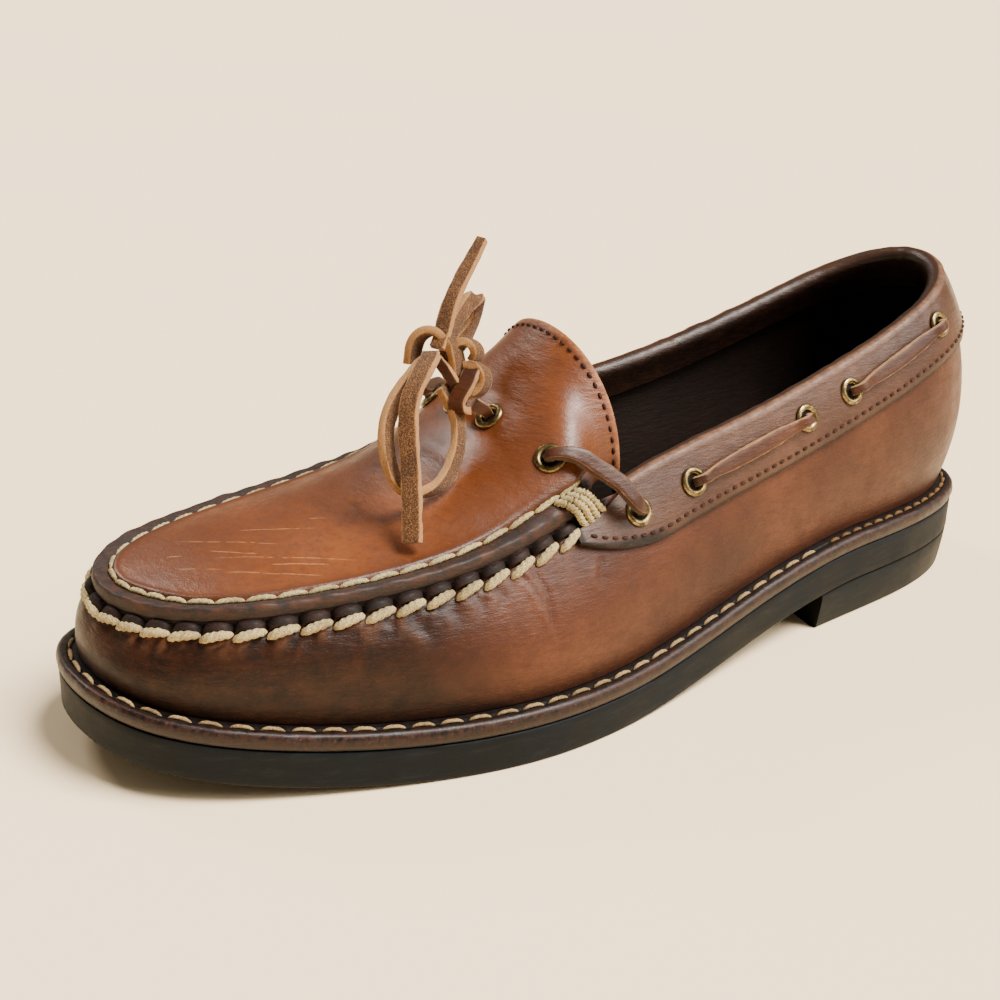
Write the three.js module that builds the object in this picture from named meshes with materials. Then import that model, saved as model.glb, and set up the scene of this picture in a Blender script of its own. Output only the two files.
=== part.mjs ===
// A boat shoe with a moccasin toe, for the left foot: a leather tub gathered to a raised plug, whose tongue
// lies over the instep, a lace-threaded collar, a leather midsole, a rubber outsole and a rubber heel.
// Millimetres, +Z up, toe towards -Y, little-toe (lateral) side towards +X.
import * as THREE from "three";
import { mergeVertices } from "three/addons/utils/BufferGeometryUtils.js";

// Driving sizes
const GAP = 0.3; // between pieces that touch
const WALL = 2.2; // leather of the tub
const PLUG = { thick: 2.4, lift: 0.9, overhang: 0.6, groove: 0.9, bevel: 0.5, fanTo: 1.1, endU: 4.9 };
const TONGUE = { tuck: 6.2, drop: 3.4, fromU: 4.28, tuckedU: 4.74, dropFromU: 4.5, dropOver: 0.4 };
const COLLAR = { thick: 1.7, front: 7.6, deep: 18.8, heelDeep: 19.5, heelFromU: 8, fromU: 4.25, fullU: 5.05 };
// The collar's fold over the topline. turn: degrees round it. shares: points down its inside.
const FOLD = { inside: 9, fromU: 4.72, turn: [0, 36, 72, 108, 144, 180], shares: [0.1, 0.5, 1] };
const SEAM = { band: 3.2, under: 1.8, stepIn: 1.8, endU: 4.4, fade: 0.35, bandAtCollar: 0.5 };
const WELT = { thick: 4.7, ledge: 5.2 }; // ledge: from the sole's edge to the upper
const OUTSOLE = { thick: 10.2, chamfer: 0.8 };
const HEEL = { breastY: 68, taper: 1.4, breastCurve: 3.5, chamfer: 0.6, chamferHigh: 0.8 };
const HEEL_POINTS = { edge: 29, breast: 7 };
const TOE_SPRING = { rise: 10.5, fromY: -61, toY: -148 };
const SHANK = { rise: 12.9, fromY: -23, toY: 90 };
const INSOLE = { thick: 2.6, clear: 0.8, roundIn: 0.6, roundDown: 0.5 };
const STAY = { thick: 1.6, fromU: 9.6, footV: 0.02, rows: 7 };
const EYELET = { hole: 2.2, flange: 4.2, high: 0.95, rim: 0.35, sides: 12 };
const LACE = { width: 4.4, thick: 1.8, bevel: 0.5 };
// How far up the wall the cross-sections have points: 0 foot, 1 thread line, 2 rim.
const HEIGHTS = [0, 0.14, 0.28, 0.44, 0.6, 0.76, 0.9, 1, 2];
// The wall's curve: how far up its lower point stands, and how far under the top its upper one does.
const WALL_CURVE = { low: 0.38, high: 0.25 };
// The plug's arch from edge to ridge, where its sides are gentle and where they are steep. near, far: how
// far its two inner points lie from edge and ridge. rise: how much of the height the first has.
const ARCH = { gentle: { near: 0.36, rise: 0.5, far: 0.5 }, steep: { near: 0, rise: 0.6, far: 0.62 } };
// Section of the welt's edge. inset: mm in from the sole's outline. lift: mm from the level named.
const WELT_EDGE = [
  { level: "bottom", inset: 0.3, lift: 0 },
  { level: "bottom", inset: -0.4, lift: 1.2 },
  { level: "top", inset: -0.2, lift: -1.3 },
  { level: "top", inset: 0.9, lift: 0 },
];
// The plug's rim. from: mm in from its edge. down: mm below its arch.
const PLUG_RINGS = [
  { from: 0, down: PLUG.bevel },
  { from: 1.2, down: 0 },
  { from: 4.1, down: 0 },
  { from: 5, down: PLUG.groove },
  { from: 6, down: 0 },
];
const PLUG_SHARES = [0.32, 0.5, 0.68, 0.85, 1]; // of the way from edge to ridge, inside the rim
const PLUG_PLACES = [
  ...[0, 0.15, 0.3, 0.45, 0.6, 0.8, 1, 1.25, 1.5, 1.8, 2.1, 2.4, 2.7, 3, 3.3, 3.6, 3.85],
  ...[4.1, 4.3, 4.42, 4.5, 4.6, 4.75, PLUG.endU],
];
// Places of the cross-sections along one side, in stations from the toe tip: closer where the shoe curves.
const PLACES = [
  ...[0, 0.3, 0.6, 0.9, 1.2, 1.5, 1.8, 2.15, 2.5, 2.9, 3.3, 3.7, 4, 4.25, 4.35, 4.46, 4.58, 4.72],
  ...[4.9, 5.2, 5.6, 6.05, 6.5, 7, 7.5, 8, 8.3, 8.6, 8.85, 9.1, 9.35, 9.6, 9.8, 10],
];

// Sections round the shoe. x, y: edge of the sole in plan. topX, topY, topZ: rim of the plug in front, and
// topline behind. belly and shoulder: how far the wall's lower and upper control points stand out.
const STATIONS = [
  { at: "toe tip", x: -8, y: -148, topX: -6.5, topY: -136.5, topZ: 43.6, belly: 1, shoulder: 4 },
  { at: "toe, lateral", x: 21, y: -139.5, topX: 17, topY: -126, topZ: 45.5, belly: 1.5, shoulder: 5 },
  { at: "toe corner, lateral", x: 40, y: -110.5, topX: 31.5, topY: -102, topZ: 47.8, belly: 2, shoulder: 6 },
  { at: "ball front, lateral", x: 52.5, y: -75, topX: 38.9, topY: -68.5, topZ: 50.2, belly: 2.5, shoulder: 8 },
  { at: "ball, lateral", x: 58.5, y: -38, topX: 39.9, topY: -36.4, topZ: 55.9, belly: 3, shoulder: 8 },
  { at: "waist front, lateral", x: 53, y: 5, topX: 36.1, topY: 0.8, topZ: 65.8, belly: 2.5, shoulder: 7 },
  { at: "waist, lateral", x: 46, y: 45, topX: 33.2, topY: 40.2, topZ: 72.7, belly: 2, shoulder: 6 },
  { at: "heel front, lateral", x: 41.5, y: 85, topX: 29.5, topY: 79, topZ: 80.7, belly: 4, shoulder: 7 },
  { at: "heel, lateral", x: 37, y: 118, topX: 26.3, topY: 108, topZ: 88.8, belly: 6, shoulder: 9 },
  { at: "heel corner, lateral", x: 24.5, y: 144.5, topX: 18.6, topY: 132, topZ: 97.2, belly: 8, shoulder: 11.5 },
  { at: "heel back", x: 0, y: 152.7, topX: -1, topY: 143.2, topZ: 101.2, belly: 8, shoulder: 12 },
  { at: "heel corner, medial", x: -24.5, y: 144.5, topX: -19, topY: 132, topZ: 96.6, belly: 7.5, shoulder: 11 },
  { at: "heel, medial", x: -36.5, y: 118, topX: -27, topY: 110, topZ: 88, belly: 6, shoulder: 9 },
  { at: "heel front, medial", x: -36, y: 85, topX: -28.5, topY: 80, topZ: 79.8, belly: 3, shoulder: 7 },
  { at: "waist, medial", x: -33, y: 45, topX: -29.5, topY: 41, topZ: 72, belly: 0.5, shoulder: 6 },
  { at: "waist front, medial", x: -38, y: 5, topX: -33.5, topY: 1.5, topZ: 65.5, belly: 1, shoulder: 6 },
  { at: "ball, medial", x: -47.5, y: -40, topX: -35.5, topY: -38, topZ: 56, belly: 2.5, shoulder: 7 },
  { at: "ball front, medial", x: -51, y: -78, topX: -37, topY: -73, topZ: 49.8, belly: 2.5, shoulder: 7 },
  { at: "toe corner, medial", x: -46, y: -113, topX: -34.3, topY: -105, topZ: 47.6, belly: 2, shoulder: 6 },
  { at: "toe, medial", x: -31, y: -139, topX: -24, topY: -130, topZ: 46.3, belly: 1.5, shoulder: 5 },
];
const TURN = STATIONS.length; // one turn round the shoe, in stations

// The plug and its tongue, from the toe to the tongue's end. u: stations from the toe tip along the rim.
// crownY, crownZ: its ridge. steep: 0 where its sides rise gently from the rim, 1 where they stand upright.
const PLUG_ROWS = [
  { u: 0, crownY: -136.2, crownZ: 44.5, steep: 0 },
  { u: 1.1, crownY: -117, crownZ: 49, steep: 0 },
  { u: 2.0, crownY: -98, crownZ: 51.6, steep: 0 },
  { u: 3.0, crownY: -70, crownZ: 56, steep: 0.05 },
  { u: 3.7, crownY: -49, crownZ: 63.5, steep: 0.25 },
  { u: 4.2, crownY: -31, crownZ: 75, steep: 0.7 },
  { u: 4.55, crownY: -20, crownZ: 86, steep: 0.95 },
  { u: 4.9, crownY: -10, crownZ: 97, steep: 1 },
];

// Eyelets of one side. u: stations from the toe tip. v: share of the wall's height. w: from edge to ridge.
const COLLAR_EYELETS = [
  { at: "front", u: 4.79, v: 0.835 },
  { at: "second", u: 5.32, v: 0.822 },
  { at: "third", u: 6.48, v: 0.847 },
  { at: "fourth", u: 7, v: 0.854 },
  { at: "rear", u: 8.49, v: 0.892 },
];
const PLUG_EYELETS = [
  { at: "outer", u: 4.254, w: 0.43, medialW: 0.43 },
  { at: "inner", u: 4.195, w: 0.93, medialW: 0.8 },
];

// Lace over a gap between eyelets. along: mm from the eyelet's middle. high: mm above the leather. wide: mm.
const LACE_ENDS = [
  { along: 0, high: 0.9, wide: 2.6 },
  { along: 0.2, high: 1.9, wide: 2.8 },
  { along: 1.4, high: 3.0, wide: 3.4 },
  { along: 4, high: 2.9, wide: 4.2 },
  { along: 7, high: 2.1, wide: 4.4 },
];
const LACE_MIDDLE = 1.7; // mm above the leather, halfway between two eyelets
const LACE_STEPS = { bar: 21, cross: 19, leg: 9, loopFront: 25, loopBack: 13, hanging: 11, upright: 8 };

// Lace over the end of the seam, mm from each eyelet's seat towards the collar. high: off the leather.
const CROSS_WIDTHS = [2.6, 3, 4.2, 4.4, 4.4, 4.2, 3, 2.6];
const CROSS_FROM_PLUG = [
  { high: 0.6, x: 0, y: 0, z: 0 },
  { high: 2.5, x: 0.4, y: 0.4, z: 0 },
  { high: 0, x: 5.3, y: 4.6, z: 1.6 },
  { high: 0, x: 8.7, y: 9.4, z: -1.8 },
  { high: 0, x: 12.5, y: 14.4, z: -6 },
];
const CROSS_TO_COLLAR = [
  { high: 0, x: 3.6, y: -3.2, z: 3.6 },
  { high: 2.2, x: 0, y: -0.3, z: 0.4 },
  { high: 0.6, x: 0, y: 0, z: 0 },
];
// Lace from the inner eyelets to the knot. foot: where each side's lace meets the knot, mm from its low end.
const LEG = { start: 0.6, rise: 2.4, bend: 0.55, widths: [2.6, 2.8, 3.4, 3.4] };
const LEG_FOOT = { lateral: [1.1, 1.7, -1.3], medial: [-2.1, 1.2, -0.8] };

// The bow, from the knot outwards.
const KNOT = { low: [4.5, -37.5, 81], high: [1, -43.5, 97], radius: 4.6, sides: 10, rows: 9, fullness: 0.7 };
const LOOP_FRONT = [
  [5.2, -45.9, 86.2],
  [9, -43.3, 78.2],
  [14, -46.7, 70],
  [18.5, -53.9, 65.2],
  [19, -59.9, 64.1],
  [18, -66, 66.4],
  [13, -67.4, 77],
  [9, -63, 85],
  [5.5, -54.5, 91.2],
  [3, -48, 93.4],
];
const LOOP_BACK = [
  [-0.5, -40, 97.8],
  [-5.5, -31.5, 103.6],
  [-10.5, -24.6, 103],
  [-12, -25, 96.8],
  [-8, -31.5, 92.5],
  [-3, -38.5, 91],
];
const END_HANGING = [
  [6.2, -49.8, 96],
  [9.6, -54, 93.6],
  [13, -60.1, 87.8],
  [17.5, -63.4, 78.4],
  [24, -66.4, 67.6],
  [30, -70, 56.3],
];
const END_UPRIGHT = [
  [1.4, -43.7, 98.6],
  [-1, -38.9, 107.3],
  [-3.5, -32.8, 114],
  [-6, -26.2, 121.1],
];
const VIEWED = [0.754, -0.532, 0.385]; // the way the front of the bow faces

const SWEEPS = 80; // rounds in which a spline's bends settle
const HALVINGS = 40; // of a range, to find the place in it that fits
const up = new THREE.Vector3(0, 0, 1);
const ROLL = GAP + COLLAR.thick + WALL / 2; // radius of the collar over the topline

// Periodic cubic spline through one column of the station table: smooth to the second derivative.
function closedSpline(values) {
  const n = values.length;
  const wrap = (i) => (i + n) % n;
  let bend = new Array(n).fill(0);
  for (let sweep = 0; sweep < SWEEPS; sweep++)
    for (let i = 0; i < n; i++) {
      const pull = 6 * (values[wrap(i + 1)] - 2 * values[i] + values[wrap(i - 1)]);
      bend[i] = (pull - bend[wrap(i - 1)] - bend[wrap(i + 1)]) / 4;
    }
  return (u) => {
    const t = ((u % n) + n) % n;
    const i = Math.floor(t);
    const j = wrap(i + 1);
    const b = t - i;
    const a = 1 - b;
    return a * values[i] + b * values[j] + ((a ** 3 - a) * bend[i] + (b ** 3 - b) * bend[j]) / 6;
  };
}

// Natural cubic spline through one column of a table whose rows are at the given places.
function openSpline(places, values) {
  const n = values.length;
  const bend = new Array(n).fill(0);
  for (let sweep = 0; sweep < SWEEPS; sweep++)
    for (let i = 1; i < n - 1; i++) {
      const before = places[i] - places[i - 1];
      const after = places[i + 1] - places[i];
      const pull = 6 * ((values[i + 1] - values[i]) / after - (values[i] - values[i - 1]) / before);
      bend[i] = (pull - before * bend[i - 1] - after * bend[i + 1]) / (2 * (before + after));
    }
  return (p) => {
    let i = 0;
    while (i < n - 2 && p > places[i + 1]) i++;
    const span = places[i + 1] - places[i];
    const b = (p - places[i]) / span;
    const a = 1 - b;
    const bent = ((a ** 3 - a) * bend[i] + (b ** 3 - b) * bend[i + 1]) * span * span;
    return a * values[i] + b * values[i + 1] + bent / 6;
  };
}

const column = (name) => closedSpline(STATIONS.map((row) => row[name]));
const edgeX = column("x");
const edgeY = column("y");
const topX = column("topX");
const topY = column("topY");
const topZ = column("topZ");
const belly = column("belly");
const shoulder = column("shoulder");
const plugColumn = (name) =>
  openSpline(
    PLUG_ROWS.map((row) => row.u),
    PLUG_ROWS.map((row) => row[name]),
  );
const crownY = plugColumn("crownY");
const crownZ = plugColumn("crownZ");
const steep = plugColumn("steep");

const lerp = THREE.MathUtils.lerp;
const clamp = (t) => Math.min(1, Math.max(0, t));
const smooth = (t) => clamp(t) ** 2 * (3 - 2 * clamp(t));

// Underside of the outsole: toe spring in front, a flat tread, then the rise to the heel seat.
function soleBottom(y) {
  const toe = Math.max(0, (TOE_SPRING.fromY - y) / (TOE_SPRING.fromY - TOE_SPRING.toY));
  return TOE_SPRING.rise * toe ** 2 + SHANK.rise * smooth((y - SHANK.fromY) / (SHANK.toY - SHANK.fromY));
}
const soleTop = (y) => soleBottom(y) + OUTSOLE.thick;
const weltBottom = (y) => soleTop(y) + GAP;
const weltTop = (y) => weltBottom(y) + WELT.thick;
const upperBottom = (y) => weltTop(y) + GAP;

// Outward direction of the sole's edge, in plan.
function outward(u) {
  const step = 0.02;
  const dx = edgeX(u + step) - edgeX(u - step);
  const dy = edgeY(u + step) - edgeY(u - step);
  return new THREE.Vector3(dy, -dx, 0).normalize();
}

// A point of the sole's outline moved inwards, at the height that a function of y gives.
function edgePoint(u, inset, height, lift = 0) {
  const p = new THREE.Vector3(edgeX(u), edgeY(u), 0).addScaledVector(outward(u), -inset);
  p.z = height(p.y) + lift;
  return p;
}

// Stations from the toe tip, by the shorter way round.
function fromToe(u) {
  const t = ((u % TURN) + TURN) % TURN;
  return Math.min(t, TURN - t);
}
// 1 along the moccasin seam, 0 along the collar.
const seamShare = (u) => 1 - smooth((fromToe(u) - SEAM.endU) / SEAM.fade);
const rimPoint = (u) => new THREE.Vector3(topX(u), topY(u), topZ(u));

// Outer face of the tub. v 0 to 1 climbs from the welt to the thread line, and 1 to 2 is the gathered band.
function wallPoint(u, v) {
  const out = outward(u);
  const share = seamShare(u);
  const foot = edgePoint(u, WELT.ledge, upperBottom);
  const rim = rimPoint(u).addScaledVector(up, lerp(-ROLL, -SEAM.under, share));
  const thread = rim.clone().addScaledVector(out, SEAM.stepIn * share);
  thread.addScaledVector(up, -lerp(SEAM.bandAtCollar, SEAM.band, share));
  if (v > 1) return thread.lerp(rim, v - 1);
  const tall = thread.z - foot.z;
  const low = foot.clone().addScaledVector(out, belly(u)).addScaledVector(up, WALL_CURVE.low * tall);
  const high = thread.clone().addScaledVector(out, shoulder(u)).addScaledVector(up, -WALL_CURVE.high * tall);
  return new THREE.CubicBezierCurve3(foot, low, high, thread).getPoint(v);
}

function wallNormal(u, v) {
  const step = 0.01;
  const w = Math.min(v, 1 - step);
  const along = wallPoint(u + step, w).sub(wallPoint(u - step, w));
  const rise = wallPoint(u, w + step).sub(wallPoint(u, Math.max(0, w - step)));
  return along.cross(rise).normalize();
}
const wallOffset = (u, v, off) => wallPoint(u, v).addScaledVector(wallNormal(u, v), off);

// The share v at which the wall reaches a height.
function wallShareAt(u, z) {
  let [low, high] = [0, 1];
  for (let i = 0; i < HALVINGS; i++) {
    const mid = (low + high) / 2;
    if (wallPoint(u, mid).z < z) low = mid;
    else high = mid;
  }
  return low;
}

// A closed body between two matched grids of points, the front one facing out. ring: its rows close on
// themselves. welded: its last column is already joined. has: which cells exist.
function sheet(front, back, { ring = false, welded = false, has = () => true } = {}) {
  const rows = front.length;
  const cols = front[0].length;
  const cells = ring ? rows : rows - 1;
  const at = (side, i, j) => side * rows * cols + (i % rows) * cols + j;
  const faces = [];
  const quad = (a, b, c, d) => faces.push(a, b, c, a, c, d);
  const exists = (i, j) => {
    const row = ring ? (i + rows) % rows : i;
    return row >= 0 && row < cells && j >= 0 && j < cols - 1 && has(row, j);
  };
  for (let i = 0; i < cells; i++)
    for (let j = 0; j < cols - 1; j++) {
      if (!exists(i, j)) continue;
      const [k, m] = [i + 1, j + 1];
      quad(at(0, i, j), at(0, k, j), at(0, k, m), at(0, i, m));
      quad(at(1, i, j), at(1, i, m), at(1, k, m), at(1, k, j));
      if (!exists(i, j - 1)) quad(at(0, i, j), at(1, i, j), at(1, k, j), at(0, k, j));
      if (!exists(i, m) && !(welded && m === cols - 1))
        quad(at(0, i, m), at(0, k, m), at(1, k, m), at(1, i, m));
      if (!exists(i - 1, j)) quad(at(0, i, j), at(0, i, m), at(1, i, m), at(1, i, j));
      if (!exists(k, j)) quad(at(0, k, j), at(1, k, j), at(1, k, m), at(0, k, m));
    }
  return geometryOf([...front.flat(), ...back.flat()], faces);
}

// A closed body through stacked loops of points, its two ends closed by strips between the loop's halves.
function stack(loops) {
  const n = loops[0].length;
  const faces = [];
  const at = (k, i) => k * n + ((i + n) % n);
  for (let k = 0; k < loops.length - 1; k++)
    for (let i = 0; i < n; i++)
      faces.push(at(k, i), at(k, i + 1), at(k + 1, i + 1), at(k, i), at(k + 1, i + 1), at(k + 1, i));
  const top = loops.length - 1;
  for (let i = 0; i < n / 2; i++) {
    const [a, b, c, d] = [i, i + 1, n - i - 1, n - i];
    if (i > 0) faces.push(at(0, a), at(0, d), at(0, b), at(top, a), at(top, b), at(top, d));
    if (i < n / 2 - 1) faces.push(at(0, b), at(0, d), at(0, c), at(top, b), at(top, c), at(top, d));
  }
  return geometryOf(loops.flat(), faces);
}

// Joins equal points and leaves out faces that have shrunk to a line.
function geometryOf(points, faces) {
  const g = new THREE.BufferGeometry().setFromPoints(points);
  g.setIndex(faces);
  const merged = mergeVertices(g, 1e-4);
  const index = Array.from(merged.index.array);
  const kept = [];
  for (let i = 0; i < index.length; i += 3) {
    const [a, b, c] = index.slice(i, i + 3);
    if (a !== b && b !== c && c !== a) kept.push(a, b, c);
  }
  merged.setIndex(kept);
  return merged;
}

const bothSides = (places) => [...places, ...places.slice(0, -1).reverse().map((u) => TURN - u)];
const roundShoe = (make) => bothSides(PLACES).slice(0, -1).map(make);
const spread = (count, from, to, make) =>
  Array.from({ length: count }, (_, i) => make(from + ((to - from) * i) / (count - 1)));
const mirrored = (places) => [...places.slice(1).reverse().map((p) => -p), ...places];

// Rubber outsole with a small chamfer at its tread edge.
function outsole() {
  const loop = (inset, height, lift) => roundShoe((u) => edgePoint(u, inset, height, lift));
  const tread = loop(OUTSOLE.chamfer, soleBottom, 0);
  return stack([tread, loop(0, soleBottom, OUTSOLE.chamfer), loop(0, soleTop, 0)]);
}

// Leather midsole whose rim is the stitched welt, with rounded edges.
function midsole() {
  const levels = { bottom: weltBottom, top: weltTop };
  const loop = (row) => roundShoe((u) => edgePoint(u, row.inset, levels[row.level], row.lift));
  return stack(WELT_EDGE.map(loop));
}

// The station at which the outline passes a y, between one station nearer the toe and one nearer the heel.
function stationAt(y, toeward, heelward) {
  let [low, high] = [toeward, heelward];
  for (let i = 0; i < HALVINGS; i++) {
    const mid = (low + high) / 2;
    if (edgeY(mid) < y) low = mid;
    else high = mid;
  }
  return low;
}

// Rubber heel under the heel seat, with a curved breast.
function heel() {
  const { edge: edgeCount, breast: breastCount } = HEEL_POINTS;
  const fromU = stationAt(HEEL.breastY, 5, 9);
  const toU = stationAt(HEEL.breastY, 15, 11);
  const loop = (inset, height) => {
    const edge = spread(edgeCount, fromU, toU, (u) => edgePoint(u, inset, height));
    const [start, end] = [edge[edgeCount - 1], edge[0]];
    const front = spread(breastCount + 2, 0, 1, (t) => t).slice(1, -1);
    const breast = front.map((t) => {
      const p = start.clone().lerp(end, t);
      p.y += HEEL.breastCurve * 4 * t * (1 - t);
      p.z = height(p.y);
      return p;
    });
    const middle = (breastCount - 1) / 2;
    return [...breast.slice(middle), ...edge, ...breast.slice(0, middle)];
  };
  return stack([
    loop(HEEL.taper + HEEL.chamfer, () => 0),
    loop(HEEL.taper, () => HEEL.chamferHigh),
    loop(0, (y) => soleBottom(y) - GAP),
  ]);
}

// Insole on the midsole, inside the tub.
function insole() {
  const inset = WELT.ledge + WALL + INSOLE.clear;
  const loop = (more, lift) => roundShoe((u) => edgePoint(u, inset + more, weltTop, GAP + lift));
  return stack([
    loop(INSOLE.roundIn, 0),
    loop(0, INSOLE.thick - INSOLE.roundDown),
    loop(INSOLE.roundIn, INSOLE.thick),
  ]);
}

// The tub: one hollow wall from the welt up to the gathered seam in front and the topline behind.
function upper() {
  const face = (off) =>
    roundShoe((u) =>
      HEIGHTS.map((v) => {
        const p = wallOffset(u, v, off);
        if (v === 0) p.z = upperBottom(p.y);
        return p;
      }),
    );
  return sheet(face(0), face(-WALL), { ring: true });
}

// Edge of the plug at its top face: on the rim along the seam, tucked inside the collar beside the tongue.
function plugEdge(u) {
  const a = fromToe(u);
  const share = seamShare(u);
  const tuck = TONGUE.tuck * smooth((a - TONGUE.fromU) / (TONGUE.tuckedU - TONGUE.fromU));
  const drop = TONGUE.drop * smooth((a - TONGUE.dropFromU) / TONGUE.dropOver);
  return rimPoint(u)
    .addScaledVector(outward(u), PLUG.overhang * share - tuck)
    .addScaledVector(up, PLUG.lift * share - drop);
}
function ridge(a) {
  const middle = plugEdge(a).lerp(plugEdge(-a), 0.5);
  return new THREE.Vector3(middle.x, crownY(a), crownZ(a) + PLUG.lift);
}

// Top face of the plug. u: stations from the toe tip, negative on the medial side. w: 0 edge, 1 ridge.
function plugPoint(u, w) {
  const a = Math.max(Math.abs(u), PLUG.fanTo);
  const edge = plugEdge(u);
  const crown = ridge(a);
  const ahead = ridge(a + 0.05).sub(ridge(a - 0.05));
  const flat = new THREE.Vector3(crown.x - edge.x, crown.y - edge.y, 0);
  const rise = crown.z - edge.z;
  const s = clamp(steep(Math.abs(u)));
  const near = edge.clone().addScaledVector(flat, lerp(ARCH.gentle.near, ARCH.steep.near, s));
  near.z += rise * lerp(ARCH.gentle.rise, ARCH.steep.rise, s);
  const reach = lerp(ARCH.gentle.far, ARCH.steep.far, s);
  const back = reach * flat.y * (1 - smooth(Math.abs(u) - PLUG.fanTo));
  const slope = ahead.z / ahead.y;
  const far = new THREE.Vector3(crown.x - reach * flat.x, crown.y - back, crown.z - back * slope);
  return new THREE.CubicBezierCurve3(edge, near, far, crown).getPoint(w);
}

function plugNormal(u, w) {
  const step = 0.01;
  const t = Math.min(w, 1 - step);
  if (w > 1 - step) {
    const a = Math.max(Math.abs(u), PLUG.fanTo);
    const ahead = ridge(a + 0.05).sub(ridge(a - 0.05));
    return new THREE.Vector3(0, -ahead.z, ahead.y).normalize();
  }
  const along = plugPoint(u + step, t).sub(plugPoint(u - step, t));
  const across = plugPoint(u, t + step).sub(plugPoint(u, Math.max(0, t - step)));
  return along.cross(across).normalize();
}
const plugOffset = (u, w, off) => plugPoint(u, w).addScaledVector(plugNormal(u, w), off);

// The share w that lies a distance in from the plug's edge.
function plugShareAt(u, distance) {
  const edge = plugPoint(u, 0);
  return (0.05 * distance) / plugPoint(u, 0.05).distanceTo(edge);
}

// The plug with its tongue: a raised rim, a shallow groove for the thread inside it, then the arch.
function plug() {
  const innermost = PLUG_RINGS[PLUG_RINGS.length - 1].from;
  const rows = mirrored(PLUG_PLACES);
  const top = rows.map((u) => [
    ...PLUG_RINGS.map((r) => plugOffset(u, plugShareAt(u, r.from), -r.down * seamShare(u))),
    ...PLUG_SHARES.map((w) => plugPoint(u, w)),
  ]);
  const rim = (u, from) => {
    const w = plugShareAt(u, from);
    const n = up.clone().lerp(plugNormal(u, w), clamp(from / innermost + 1 - seamShare(u))).normalize();
    return plugPoint(u, w).addScaledVector(n, -PLUG.thick);
  };
  const under = rows.map((u) => [
    ...PLUG_RINGS.map((r) => rim(u, r.from)),
    ...PLUG_SHARES.map((w) => plugOffset(u, w, -PLUG.thick)),
  ]);
  return sheet(top, under, { welded: true });
}

// Height of the collar's lower edge below the topline: a rounded front corner, deepest at the heel.
function collarDepth(u) {
  const t = clamp((fromToe(u) - COLLAR.fromU) / (COLLAR.fullU - COLLAR.fromU));
  const front = lerp(COLLAR.front, COLLAR.deep, Math.sin((t * Math.PI) / 2));
  return front + (COLLAR.heelDeep - COLLAR.deep) * smooth((fromToe(u) - COLLAR.heelFromU) / 2);
}

// The collar: a band over the outside of the tub, rolled over its topline and down its inside.
function collar() {
  const rows = bothSides(PLACES.filter((u) => u >= COLLAR.fromU));
  const skinCols = 5;
  const face = (off, turnR) =>
    rows.map((u) => {
      const low = wallShareAt(u, topZ(u) - collarDepth(u));
      const skin = spread(skinCols, low, 1, (v) => wallOffset(u, v, off));
      const n = wallNormal(u, 1);
      const t = up.clone().addScaledVector(n, -up.dot(n)).normalize();
      const centre = wallOffset(u, 2 - seamShare(u), -WALL / 2);
      const roll = FOLD.turn.map((degrees) => {
        const angle = THREE.MathUtils.degToRad(degrees);
        return centre
          .clone()
          .addScaledVector(n, turnR * Math.cos(angle))
          .addScaledVector(t, turnR * Math.sin(angle));
      });
      const inside = FOLD.shares.map((share) => {
        const v = wallShareAt(u, topZ(u) - ROLL - share * FOLD.inside);
        return wallOffset(u, v, -WALL - off);
      });
      return [...skin, ...roll, ...inside];
    });
  const folded = (u) => fromToe(u) >= FOLD.fromU - 0.001;
  const has = (i, j) => j < skinCols || (folded(rows[i]) && folded(rows[i + 1]));
  return sheet(face(GAP + COLLAR.thick, ROLL), face(GAP, GAP + WALL / 2), { has });
}

// The back stay: a strip down the heel from the collar to the welt.
function backStay() {
  const rows = bothSides(PLACES.filter((u) => u >= STAY.fromU));
  const face = (off) =>
    rows.map((u) => {
      const high = wallShareAt(u, topZ(u) - collarDepth(u) - 2 * GAP);
      return spread(STAY.rows, STAY.footV, high, (v) => wallOffset(u, v, off));
    });
  return sheet(face(GAP + STAY.thick), face(GAP));
}

// A ring with a rounded flange, standing on a surface.
function eyelet(seat, normal) {
  const { hole, flange, high, rim, sides } = EYELET;
  const profile = [
    [hole, 0],
    [flange, 0],
    [flange, rim],
    [(flange + hole) / 2, high],
    [hole, 2 * rim],
    [hole, 0],
  ].map(([r, h]) => new THREE.Vector2(r, h));
  const g = mergeVertices(stripped(new THREE.LatheGeometry(profile, sides)), 1e-4);
  g.applyQuaternion(new THREE.Quaternion().setFromUnitVectors(new THREE.Vector3(0, 1, 0), normal));
  g.translate(seat.x, seat.y, seat.z);
  return g;
}
function stripped(g) {
  g.deleteAttribute("normal");
  g.deleteAttribute("uv");
  return g;
}

// A flat lace along a smooth line: its section is a flat hexagon whose width lies along sideAt.
function lace(points, sideAt, widths, steps) {
  const curve = new THREE.CatmullRomCurve3(points, false, "centripetal");
  const loops = spread(steps, 0, 1, (t) => {
    const p = curve.getPoint(t);
    const ahead = curve.getTangent(t);
    const side = sideAt(p, ahead, t);
    side.addScaledVector(ahead, -side.dot(ahead)).normalize();
    const thick = ahead.clone().cross(side);
    const place = t * (widths.length - 1);
    const k = Math.min(widths.length - 2, Math.floor(place));
    const [x, y] = [lerp(widths[k], widths[k + 1], place - k) / 2, LACE.thick / 2];
    const b = LACE.bevel;
    return [
      [x - b, -y],
      [x, 0],
      [x - b, y],
      [b - x, y],
      [-x, 0],
      [b - x, -y],
    ].map(([i, j]) => p.clone().addScaledVector(side, i).addScaledVector(thick, j));
  });
  return stack(loops);
}
const vector = (row) => new THREE.Vector3(...row);
// Which way a lace's width lies: its edge towards the front of the bow, or its flat face.
const edgeOn = () => vector(VIEWED);
const flatOn = (p, ahead) => vector(VIEWED).cross(ahead);

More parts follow.
